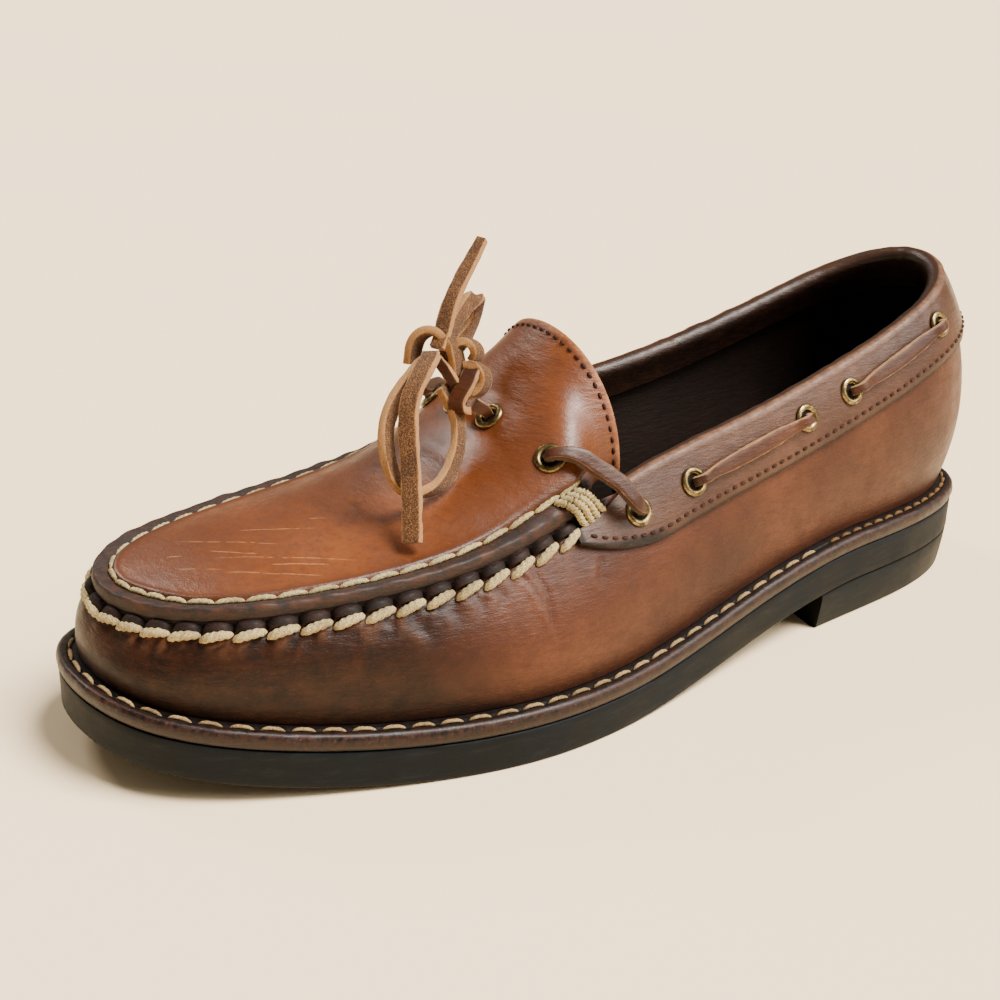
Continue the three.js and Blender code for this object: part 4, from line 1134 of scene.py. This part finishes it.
def midsole():
    profile = [
        # inset, level, lift: up the round edge, over it, through the groove of the stitches and inwards
        (0.5, welt_bottom, 0.0), (0.1, welt_bottom, 0.25), (-0.15, welt_bottom, 0.9), (-0.4, welt_bottom, 1.6),
        (-0.45, welt_top, -2.2), (-0.35, welt_top, -1.5), (-0.05, welt_top, -0.7), (0.45, welt_top, -0.15),
        (1.1, welt_top, 0.0), (1.9, welt_top, 0.0), (2.3, welt_top, -0.12), (2.5, welt_top, -0.5),
        (WELT_GROOVE, welt_top, -0.6), (3.4, welt_top, -0.5), (3.6, welt_top, -0.1), (4.4, welt_top, 0.0),
        (6.2, welt_top, 0.0), (7.6, welt_top, 0.0),
    ]
    loops = [edge_point(SOLE_U, inset, level, lift) for inset, level, lift in profile]
    wavy = 0.12 * ripple(SOLE_U * 9, 21) + 0.08 * ripple(SOLE_U * 23, 22)
    out = outward(SOLE_U)
    for k in range(2, 8):
        loops[k] = loops[k] + out * col(wavy)
    paint = np.zeros((len(loops), len(SOLE_U), 4))
    inset = np.array([row[0] for row in profile])
    paint[:, :, 1] = 0.75 * hump(inset, 0.1, 0.8)[:, None]
    paint[:2, :, 1] = 0.2
    paint[:, :, 0] = np.where(inset > 2.2, 0.75, 0.0)[:, None]
    paint[:2, :, 0] = 0.7
    piece = stacked("midsole_welt", loops, [WELT_LEATHER], paint)
    return place_piece(piece, "midsole", "midsole")


def outsole():
    c = OUTSOLE["chamfer"]
    profile = [
        (2.2, sole_bottom, 0.0), (c, sole_bottom, 0.0), (0.25 * c, sole_bottom, 0.3 * c), (0, sole_bottom, c),
        (0.05, sole_bottom, 2.6), (0.05, sole_bottom, 5.0), (0.0, sole_top, -2.4), (0.0, sole_top, -0.5),
        (0.15, sole_top, -0.12), (0.5, sole_top, 0.0), (3.0, sole_top, 0.0),
    ]
    loops = [edge_point(SOLE_U, inset, level, lift) for inset, level, lift in profile]
    paint = np.zeros((len(loops), len(SOLE_U), 4))
    paint[:2, :, 0] = 0.35
    piece = stacked("outsole_slab", loops, [RUBBER], paint)
    return place_piece(piece, "outsole", "outsole")


def station_at(y, toeward, heelward):
    """The station between two others at which the sole's edge reaches y."""
    low, high = toeward, heelward
    for _ in range(40):
        mid = (low + high) / 2
        low, high = (mid, high) if edge_y(mid) < y else (low, mid)
    return low


def heel():
    from_u = station_at(HEEL["breast_y"], 5.0, 9.0)
    to_u = station_at(HEEL["breast_y"], 15.0, 11.0)
    edge_u = np.linspace(from_u, to_u, 240)
    share = np.linspace(0, 1, 61)[1:-1]

    def loop(inset, height):
        edge = edge_point(edge_u, inset, height)
        front = lerp(edge[-1], edge[0], col(share))
        front[:, 1] += HEEL["breast_curve"] * 4 * share * (1 - share)
        front[:, 2] = height(front[:, 1])
        return np.concatenate([edge, front])

    def between(t, lift):
        """A level between the floor and the outsole's underside."""
        return lambda y: lerp(0.0, sole_bottom(y) - GAP, t) + lift

    taper = HEEL["taper"]
    profile = [
        # inset, share of the height, lift
        (taper + 2.5, 0, 0.0), (taper + 0.6, 0, 0.0), (taper + 0.2, 0, 0.3), (taper, 0, 0.8),
        (taper * 0.66, 0.33, 0.0), (taper * 0.33, 0.66, 0.0), (0.15, 0.95, 0.0), (0.3, 0.985, 0.0),
        (0.6, 1, 0.0),
    ]
    loops = [loop(inset, between(t, lift)) for inset, t, lift in profile]
    paint = np.zeros((len(loops), len(loops[0]), 4))
    # painted shade on the heel's breast, which faces the arch
    paint[:, len(edge_u) :, 0] = 0.92
    paint[-2:, :, 0] = 0.8
    paint[:2, :, 0] = 0.5
    piece = stacked("heel_block", loops, [HEEL_RUBBER], paint, sharp=35, flat_ends=True)
    return place_piece(piece, "heel", "heel")


def insole():
    def top(y):
        return upper_bottom(y) + INSOLE["thick"]

    inset = WELT["ledge"] + WALL + INSOLE["clear"]
    u = SOLE_U[::2]
    profile = [
        # inset, level, lift, dyed edge
        (3.0, upper_bottom, 0.0, 0), (0.4, upper_bottom, 0.0, 0), (0.0, upper_bottom, 0.5, 0.8),
        (0.0, top, -0.6, 0.8), (0.25, top, -0.15, 0.5), (0.8, top, 0.0, 0),
    ]
    loops = [edge_point(u, inset + more, level, lift) for more, level, lift, _ in profile]
    paint = masks((len(loops), len(u)), edge=np.array([row[3] for row in profile])[:, None])
    piece = stacked("footbed", loops, [FOOTBED], paint)
    return place_piece(piece, "insole", "insole")


# Threads
PLIES = 3
# One stitch of each kind: width and height in mm, how far its ends sink in and its middle arches, how deep the
# grooves of its plies are and how often they turn, how many points it has, and how blunt its ends are
THREADS = dict(
    outer=dict(wide=2.4, high=2.1, sink=0.75, arch=0.5, ply=0.1, turns=1.5, along=33, around=16),
    inner=dict(wide=1.55, high=1.3, sink=0.4, arch=0.22, ply=0.09, turns=1.5, along=31, around=14),
    tack=dict(wide=1.9, high=1.9, sink=0, arch=0.12, ply=0.15, turns=0.8, along=19, around=14, blunt=24),
    edge=dict(wide=0.95, high=0.8, sink=0.35, arch=0.15, along=7, around=6),
    welt_front=dict(wide=1.2, high=0.95, sink=0.6, arch=0.22, along=11, around=8),
    welt_heel=dict(wide=1.25, high=0.95, sink=0.6, arch=0.22, along=9, around=8),
)
EDGE_ROW = 2.3  # mm from the edge of collar and tongue to the stitches


def stitches(name, starts, ends, normals, material, kind):
    """One mesh of separate stitches, each a short twisted cord that dips into the leather at both ends."""
    thread = dict(ply=0.1, turns=1.0, blunt=3.2) | THREADS[kind]
    along, around = thread["along"], thread["around"]
    starts, ends, normals = (np.asarray(a, float) for a in (starts, ends, normals))
    t = np.linspace(0, 1, along)
    theta = np.linspace(0, 2 * np.pi, around, endpoint=False)
    axis = ends - starts
    side = unit(np.cross(axis, normals))[:, None, None]
    rise = unit(np.cross(side[:, 0, 0], axis))[:, None, None]
    profile = (1 - np.abs(2 * t - 1) ** thread["blunt"]) ** 0.5
    profile[[0, -1]] = 0.15
    lift = thread["arch"] * np.sin(np.pi * t) - thread["sink"] * np.abs(2 * t - 1) ** 4
    centre = starts[:, None] + axis[:, None] * t[None, :, None] + normals[:, None] * lift[None, :, None]
    twist = theta[None, :] - 2 * np.pi * thread["turns"] * t[:, None]
    radius = profile[:, None] * (1 + thread["ply"] * np.cos(PLIES * twist))
    spread = radius * np.cos(theta)[None, :] * thread["wide"] / 2
    stand = radius * np.sin(theta)[None, :] * thread["high"] / 2
    points = centre[:, :, None] + side * spread[None, :, :, None] + rise * stand[None, :, :, None]
    one = loft_faces(along, around, close_cols=True)
    bases = np.arange(len(starts)) * along * around
    faces = (one[None] + bases[:, None, None]).reshape(-1, 4).tolist()
    for base in bases.tolist():
        faces += [[base + j for j in face] for face in end_faces(along, around)]
    piece = make_mesh(name, points, faces, [material], sharp=80)
    return place_piece(piece, None)


def outer_seam_thread():
    """The heavy thread that gathers the tub, one stitch under each bead."""
    pitch = SEAM["pitch"]
    last = math.floor(np.interp(SEAM["end_u"] - 0.05, SEAM_U, SEAM_S) / pitch)
    s = np.arange(-last, last) * pitch
    start, end = seam_station(s + 0.02 * pitch), seam_station(s + 1.03 * pitch)
    toeward = s + pitch / 2 > 0
    low, high, out = 0.935, 1.03, 0.9
    a = wall_offset(start, np.where(toeward, low, high), out)
    b = wall_offset(end, np.where(toeward, high, low), out)
    normal = wall_normal(seam_station(s + pitch / 2), 0.98)
    return stitches("seam_thread_outer", a, b, normal, CREAM, "outer")


def inner_seam_thread():
    """The same thread where it lies in the plug's groove."""
    pitch = SEAM["pitch"]
    last = math.floor(np.interp(SEAM["end_u"] - 0.02, SEAM_U, SEAM_S) / pitch)
    s = np.arange(-last, last) * pitch + 0.5 * pitch
    ends = []
    for more, away in ((0.0, 4.8), (1.02, 5.25)):
        u = seam_station(s + more * pitch)
        ends.append(plug_offset(u, plug_share_at(u, away), -0.55))
    middle = seam_station(s + pitch / 2)
    normal = plug_normal(middle, plug_share_at(middle, GROOVE_AT))
    return stitches("seam_thread_inner", *ends, normal, CREAM, "inner")


def line_stitches(name, point_at, normal_at, places, pitch, fill, material, kind, skew=0.0):
    """A row of stitches along a line that point_at gives over places. fill: a stitch's share of the pitch."""
    length = line_length(point_at(places))
    count = int(length[-1] / pitch)
    start = (np.arange(count) + (1 - fill) / 2) * pitch
    u0, u1 = np.interp(start, length, places), np.interp(start + fill * pitch, length, places)
    a, b = point_at(u0), point_at(u1)
    normal = normal_at((u0 + u1) / 2)
    side = unit(np.cross(b - a, normal))
    return stitches(name, a - side * skew, b + side * skew, normal, material, kind)


def collar_stitches():
    def height(u):
        return wall_share_at(u, top_z(u) - collar_depth(u) + EDGE_ROW)

    def point(u):
        return wall_offset(u, height(u), GAP + COLLAR["thick"] + 0.05)

    def normal(u):
        return wall_normal(u, height(u))

    places = np.linspace(COLLAR["from_u"] + 0.08, TURN - COLLAR["from_u"] - 0.08, 1500)
    return line_stitches("collar_stitches", point, normal, places, 3.3, 0.72, DARK_THREAD, "edge")


def welt_stitches():
    def point(u):
        return edge_point(u, WELT_GROOVE, welt_top, -0.05)

    def normal(u):
        return np.broadcast_to(UP, (*np.shape(u), 3))

    front = np.linspace(-6.6, 6.6, 1600)
    behind = np.linspace(6.66, TURN - 6.66, 1200)
    line_stitches("welt_stitches_front", point, normal, front, 7.5, 0.84, WELT_THREAD, "welt_front", skew=0.12)
    line_stitches("welt_stitches_heel", point, normal, behind, 5.3, 0.8, TAN, "welt_heel", skew=0.12)


def beside_tongue_end(q):
    """Station and share of points at one distance from the tongue's cut end; q runs -1 to 1 over the end."""
    w = 1 - np.abs(q)
    a = PLUG["end_u"]
    pace = np.linalg.norm(plug_point(a, w) - plug_point(a - 0.05, w), axis=-1) / 0.05
    return np.where(q < 0, -1, 1) * (a - EDGE_ROW / pace), w


def tongue_stitches():
    def point(q):
        return plug_offset(*beside_tongue_end(q), 0.1)

    def normal(q):
        return plug_normal(*beside_tongue_end(q))

    places = np.linspace(-0.97, 0.97, 900)
    return line_stitches("tongue_stitches", point, normal, places, 3.1, 0.7, DARK_THREAD, "edge")


TACKS = [
    # station where each strand leaves the plug, crosses the rim and enters the tub; how far it stands out
    (4.15, 4.25, 4.37, 1.0), (4.2, 4.31, 4.42, 1.5), (4.25, 4.37, 4.48, 1.1), (4.31, 4.43, 4.55, 0.7),
]


def seam_tacks():
    """Strands that bind the end of the seam over the rim, each a row of short twisted lengths."""
    starts, ends, normals = [], [], []
    for sign in HANDS.values():
        for *stations, out in TACKS:
            a, b, c = (sign * station for station in stations)
            above, below = (a + b) / 2, (b + c) / 2
            line = smooth_line([
                plug_offset(a, plug_share_at(a, 4.4), -0.5),
                plug_offset(above, plug_share_at(above, 2.6), 0.9 + out * 0.4),
                plug_edge(b) + outward(b) * (1.2 + out * 0.5) + UP * (0.5 + out * 0.4),
                wall_offset(below, 1.5, 1.5 + out),
                wall_offset(c, 0.99, 0.3),
            ], 5)
            starts += list(line[:-1])
            ends += list(line[1:])
            normals += [outward(b) * 0.75 + UP * 0.65] * (len(line) - 1)
    return stitches("seam_tacks", starts, ends, normals, CREAM, "tack")


# Eyelets
RING_STEPS = 48


def frame_of(normal):
    """Two directions across a normal, and the normal itself."""
    normal = unit(np.asarray(normal, float))
    side = unit(np.cross(UP if abs(normal[2]) < 0.9 else VIEWED, normal))
    return side, np.cross(normal, side), normal


def eyelet(node, name, seat, normal):
    """A rolled brass ring, its hole closed by a dark disc of painted shade."""
    hole, flange, high = EYELET["hole"], EYELET["flange"], EYELET["high"]
    middle, half = (hole + flange) / 2, (flange - hole) / 2
    arc = np.radians(np.linspace(0, 180, 13))
    rolled = [(middle + half * math.cos(a), 0.15 + (high - 0.15) * math.sin(a)) for a in arc]
    profile = np.array([*rolled, (hole, -0.1)])
    turn = np.linspace(0, 2 * np.pi, RING_STEPS, endpoint=False)
    side, up_side, n = frame_of(normal)
    ring = side * col(np.cos(turn)) + up_side * col(np.sin(turn))
    rim = (seat + ring[:, None] * profile[None, :, :1] + n * profile[None, :, 1:]).reshape(-1, 3)
    points = np.concatenate([rim, seat + ring * (hole * 1.02) + n * 0.02])
    faces = loft_faces(RING_STEPS, len(profile), close_rows=True, close_cols=True).tolist()
    which = [0] * len(faces) + [1]
    # the disc across the hole is painted shade
    faces.append([len(rim) + k for k in range(RING_STEPS)])
    paint = masks((len(points),))
    piece = make_mesh(name, points, faces, [BRASS, HOLE_SHADE], which=which, sharp=60, paint=paint)
    return place_piece(piece, "eyelets", node)


def collar_place(row, sign, high):
    return wall_offset(sign * row[0], row[1], GAP + COLLAR["thick"] + high)


def plug_seat(row, sign):
    u, w = sign * row[0], row[1] if sign > 0 else row[2]
    return plug_offset(u, w, GAP), plug_normal(u, w)


def all_eyelets():
    for hand, sign in HANDS.items():
        for at, row in COLLAR_EYELETS.items():
            seat, normal = collar_place(row, sign, 0.12), wall_normal(sign * row[0], row[1])
            eyelet(f"collar_eyelet_{hand}_{at}", f"brass_collar_{hand}_{at}", seat, normal)
        for at, row in PLUG_EYELETS.items():
            seat, normal = plug_seat(row, sign)
            eyelet(f"plug_eyelet_{hand}_{at}", f"brass_plug_{hand}_{at}", seat - normal * 0.18, normal)


# Laces
FINE_STEPS = 400
# Half of a thong's section, as shares of half its width and of half its thickness; the rest is its mirror image
HALF_SECTION = [
    (-1, -0.55), (-1, 0), (-1, 0.55), (-0.93, 0.9), (-0.8, 1), (-0.4, 1), (0, 1), (0.4, 1), (0.8, 1),
    (0.93, 0.9),
]


def smooth_line(points, count):
    """A smooth curve through points, at even distances."""
    points = np.asarray(points, float)
    steps = np.sqrt(np.linalg.norm(np.diff(points, axis=0), axis=1))
    places = np.concatenate([[0], np.cumsum(steps)])
    curve = open_spline(places, points)
    fine = np.linspace(0, places[-1], FINE_STEPS)
    length = line_length(curve(fine))
    return curve(np.interp(np.linspace(0, length[-1], count), length, fine))


def ribbon(name, line, sides, widths, materials, thick=LACE_THICK, rough=0.12, seed=1):
    """A flat thong along a line. sides: the way its width lies at each point. materials: faces, cut edges."""
    ahead = unit(np.gradient(line, axis=0))
    sides = unit(sides - ahead * col(np.sum(sides * ahead, -1)))
    flat = np.cross(ahead, sides)
    section = np.array(HALF_SECTION + [(-x, -y) for x, y in HALF_SECTION])
    length = line_length(line)
    wobble = 1 + rough * 0.5 * np.stack([ripple(length / 2.3 + k, seed) for k in range(len(section))], 1)
    x = section[None, :, 0] * col(np.asarray(widths, float) / 2) * wobble
    y = section[None, :, 1] * thick / 2
    points = line[:, None] + sides[:, None] * x[..., None] + flat[:, None] * y[..., None]
    rows, cols = points.shape[:2]
    faces = loft_faces(rows, cols, close_cols=True).tolist() + end_faces(rows, cols)
    is_edge = np.abs(section[:, 0]) > 0.9
    cut_faces = (is_edge & np.roll(is_edge, -1)).astype(int).tolist()
    which = cut_faces * (rows - 1) + [1, 1]
    paint = masks((rows, cols), edge=is_edge)
    return make_mesh(name, points, faces, materials, which=which, paint=paint, sharp=55)


# A bar's ends: distance along from the eyelet, height and width
LACE_ENDS = [(0, 0.9, 2.6), (0.2, 1.9, 2.8), (1.4, 3.0, 3.4), (4, 2.9, 4.2), (7, 2.1, 4.4)]
LACE_MIDDLE = 1.7


def widths_along(widths, count):
    """Widths at even distances, from a few of them."""
    return np.interp(np.linspace(0, len(widths) - 1, count), np.arange(len(widths)), widths)


def lace_bar(hand, name, first, second):
    """A length of lace from one collar eyelet to the next."""
    sign, count = HANDS[hand], 60

    def along_rim(t):
        return sign * lerp(first[0], second[0], t), lerp(first[1], second[1], t)

    def at(t, high):
        return wall_offset(*along_rim(t), GAP + COLLAR["thick"] + high)

    long = np.linalg.norm(at(1, 0) - at(0, 0))
    start = [at(along / long, high) for along, high, _ in LACE_ENDS]
    end = [at(1 - along / long, high) for along, high, _ in LACE_ENDS][::-1]
    line = smooth_line([*start, at(0.5, LACE_MIDDLE), *end], count)
    sides = np.cross(wall_normal(*along_rim(np.linspace(0, 1, count))), np.gradient(line, axis=0))
    wide = [row[2] for row in LACE_ENDS]
    widths = widths_along([*wide, wide[-1], *wide[::-1]], count)
    piece = ribbon(f"thong_bar_{hand}_{name}", line, sides, widths, [THONG_SMOOTH, THONG])
    return place_piece(piece, "lace", f"lace_bar_{hand}_{name}")


CROSS_FROM_PLUG = [(5.3, 4.6, 1.6), (8.7, 9.4, -1.8), (12.5, 14.4, -6)]
CROSS_TO_COLLAR = (3.6, -3.2, 3.6)
CROSS_WIDTHS = [2.8, 3.4, 4.4, 4.6, 4.6, 4.4, 3.4, 2.8]
CROSS_THICK = 2.5
LEG_WIDTHS = [2.8, 3.2, 3.6, 3.8]


def lace_cross(hand):
    """The lace from the plug's outer eyelet over the rim to the collar's front one."""
    sign, count = HANDS[hand], 64
    a, a_normal = plug_seat(PLUG_EYELETS["outer"], sign)
    row = COLLAR_EYELETS["front"]
    b, b_normal = collar_place(row, sign, GAP), wall_normal(sign * row[0], row[1])
    turned = np.array((sign, 1, 1))
    points = [a + a_normal * 0.6, a + a_normal * 2.5 + np.array((sign * 0.4, 0.4, 0))]
    points += [a + turned * np.array(step) for step in CROSS_FROM_PLUG]
    points += [b + turned * np.array(CROSS_TO_COLLAR)]
    points += [b + b_normal * 2.2 + np.array((0, -0.3, 0.4)), b + b_normal * 0.6]
    line = smooth_line(points, count)
    sides = np.cross(lerp(a_normal, b_normal, col(np.linspace(0, 1, count))), np.gradient(line, axis=0))
    widths = widths_along(CROSS_WIDTHS, count)
    # its cut edges take the darker suede copy: painted shade on the strap's edge and underside
    piece = ribbon(f"thong_cross_{hand}", line, sides, widths, [THONG_SMOOTH, THONG_SHADED_EDGE], thick=CROSS_THICK)
    return place_piece(piece, "lace", f"lace_cross_{hand}")


def lace_leg(hand):
    """The lace from the plug's inner eyelet up to the knot."""
    sign, count = HANDS[hand], 26
    seat, normal = plug_seat(PLUG_EYELETS["inner"], sign)
    knot_foot = np.array(KNOT_LOW) + np.array(LEG_FOOT[hand])
    rise = seat + normal * 2.4
    line = smooth_line([seat + normal * 0.3, rise, lerp(rise, knot_foot, 0.55), knot_foot], count)
    sides = np.cross(VIEWED, np.gradient(line, axis=0))
    widths = widths_along(LEG_WIDTHS, count)
    piece = ribbon(f"thong_leg_{hand}", line, sides, widths, [THONG_SMOOTH, THONG])
    return place_piece(piece, "lace", f"lace_leg_{hand}")


BOW_THICK = 2.3
KNOT_WRAPS = dict(
    # each turn of the knot: its line, the way its width lies, its width
    ring=([(-3.9, -49.4, 91), (-3.7, -48.9, 95.2), (-2.9, -47.3, 98.4), (-0.9, -44.5, 99.7), (1.7, -42, 98),
           (3.9, -40.9, 94.1), (4.9, -40.5, 88.7)], TURNED, 5.4),
    fold=([(7.4, -37.4, 90.2), (8.9, -39.6, 88.6), (9.8, -42.1, 86), (9.7, -43.8, 83.2), (9.4, -43.2, 80.6),
           (8.4, -40.5, 79.7)], FACING, 4.6),
    hook=([(1.9, -39.6, 94.4), (2.8, -38, 96.3), (4.2, -36.1, 96.2), (5.4, -34.9, 94.1),
           (5, -35.5, 91.6)], TURNED, 4.2),
    curl=([(5, -38, 90.6), (7.3, -36.4, 91), (9.2, -35.1, 89.1), (9.7, -35.6, 86), (8.7, -37.5, 84.1),
           (7, -38.6, 84.6)], TURNED, 4.2),
    strap=([(0.8, -45.5, 93.7), (3.2, -45.1, 92.1), (5.6, -44.1, 89.8), (7.3, -43, 87.1)], FACING, 3.0),
    heart=([(1.2, -43.5, 94.5), (2.2, -41.5, 90.5), (3.6, -39.8, 86.5), (4.6, -38.5, 82.5)], FACING, 6.0),
    core=([(0.2, -40.5, 94), (2.0, -39.4, 90), (4.4, -38.2, 86), (5.6, -37.4, 82)], VIEWED, 6.0),
)


def cord_piece(name, node, route, sides, count, width, taper=0.0, seed=1):
    """One free length of the bow. taper: the share of its width that it loses towards its far end."""
    line = smooth_line(route, count)
    widths = width * (1 - taper * np.linspace(0, 1, count) ** 3)
    sides = np.broadcast_to(sides, line.shape)
    piece = ribbon(name, line, sides, widths, [THONG, THONG], thick=BOW_THICK, rough=0.22, seed=seed)
    place_piece(piece, "lace", node)
    to_frame(line[0])
    float(line_length(line)[-1]) / 1000
    to_frame(line).tolist()
    return piece


def knot():
    """The turns of thong in the knot, joined as one piece."""
    made, count = [], 36
    for seed, (name, (line, sides, width)) in enumerate(KNOT_WRAPS.items(), 5):
        line = smooth_line(line, count)
        sides = np.broadcast_to(sides, line.shape)
        faces = [THONG_SMOOTH if name in ("fold", "strap") else THONG, THONG]
        widths = np.full(count, width)
        made.append(ribbon(f"knot_{name}", line, sides, widths, faces, thick=BOW_THICK, rough=0.2, seed=seed))
    bpy.ops.object.select_all(action="DESELECT")
    for part in made:
        part.select_set(True)
    bpy.context.view_layer.objects.active = made[0]
    bpy.ops.object.join()
    made[0].name = "bow_knot_wraps"
    return place_piece(made[0], "lace", "bow_knot")


def bow():
    wraps = knot()
    cord_piece("bow_loop_front_thong", "bow_loop_front", LOOP_FRONT, TURNED, 90, 4.6, seed=2)
    cord_piece("bow_loop_back_thong", "bow_loop_back", LOOP_BACK, TURNED, 50, 4.6, seed=3)
    cord_piece("bow_end_hanging_thong", "bow_end_hanging", END_HANGING, FACING, 60, 5.0, seed=4)
    cord_piece("bow_end_upright_thong", "bow_end_upright", END_UPRIGHT, FACING, 40, 4.4, taper=0.35, seed=5)


add_camera()
add_stage()
tub()
plug_tongue()
collar()
back_stay()
midsole()
outsole()
heel()
insole()
outer_seam_thread()
inner_seam_thread()
seam_tacks()
collar_stitches()
welt_stitches()
tongue_stitches()
all_eyelets()
for hand in HANDS:
    lace_bar(hand, "front", COLLAR_EYELETS["second"], COLLAR_EYELETS["third"])
    lace_bar(hand, "rear", COLLAR_EYELETS["fourth"], COLLAR_EYELETS["rear"])
    lace_cross(hand)
    lace_leg(hand)
bow()
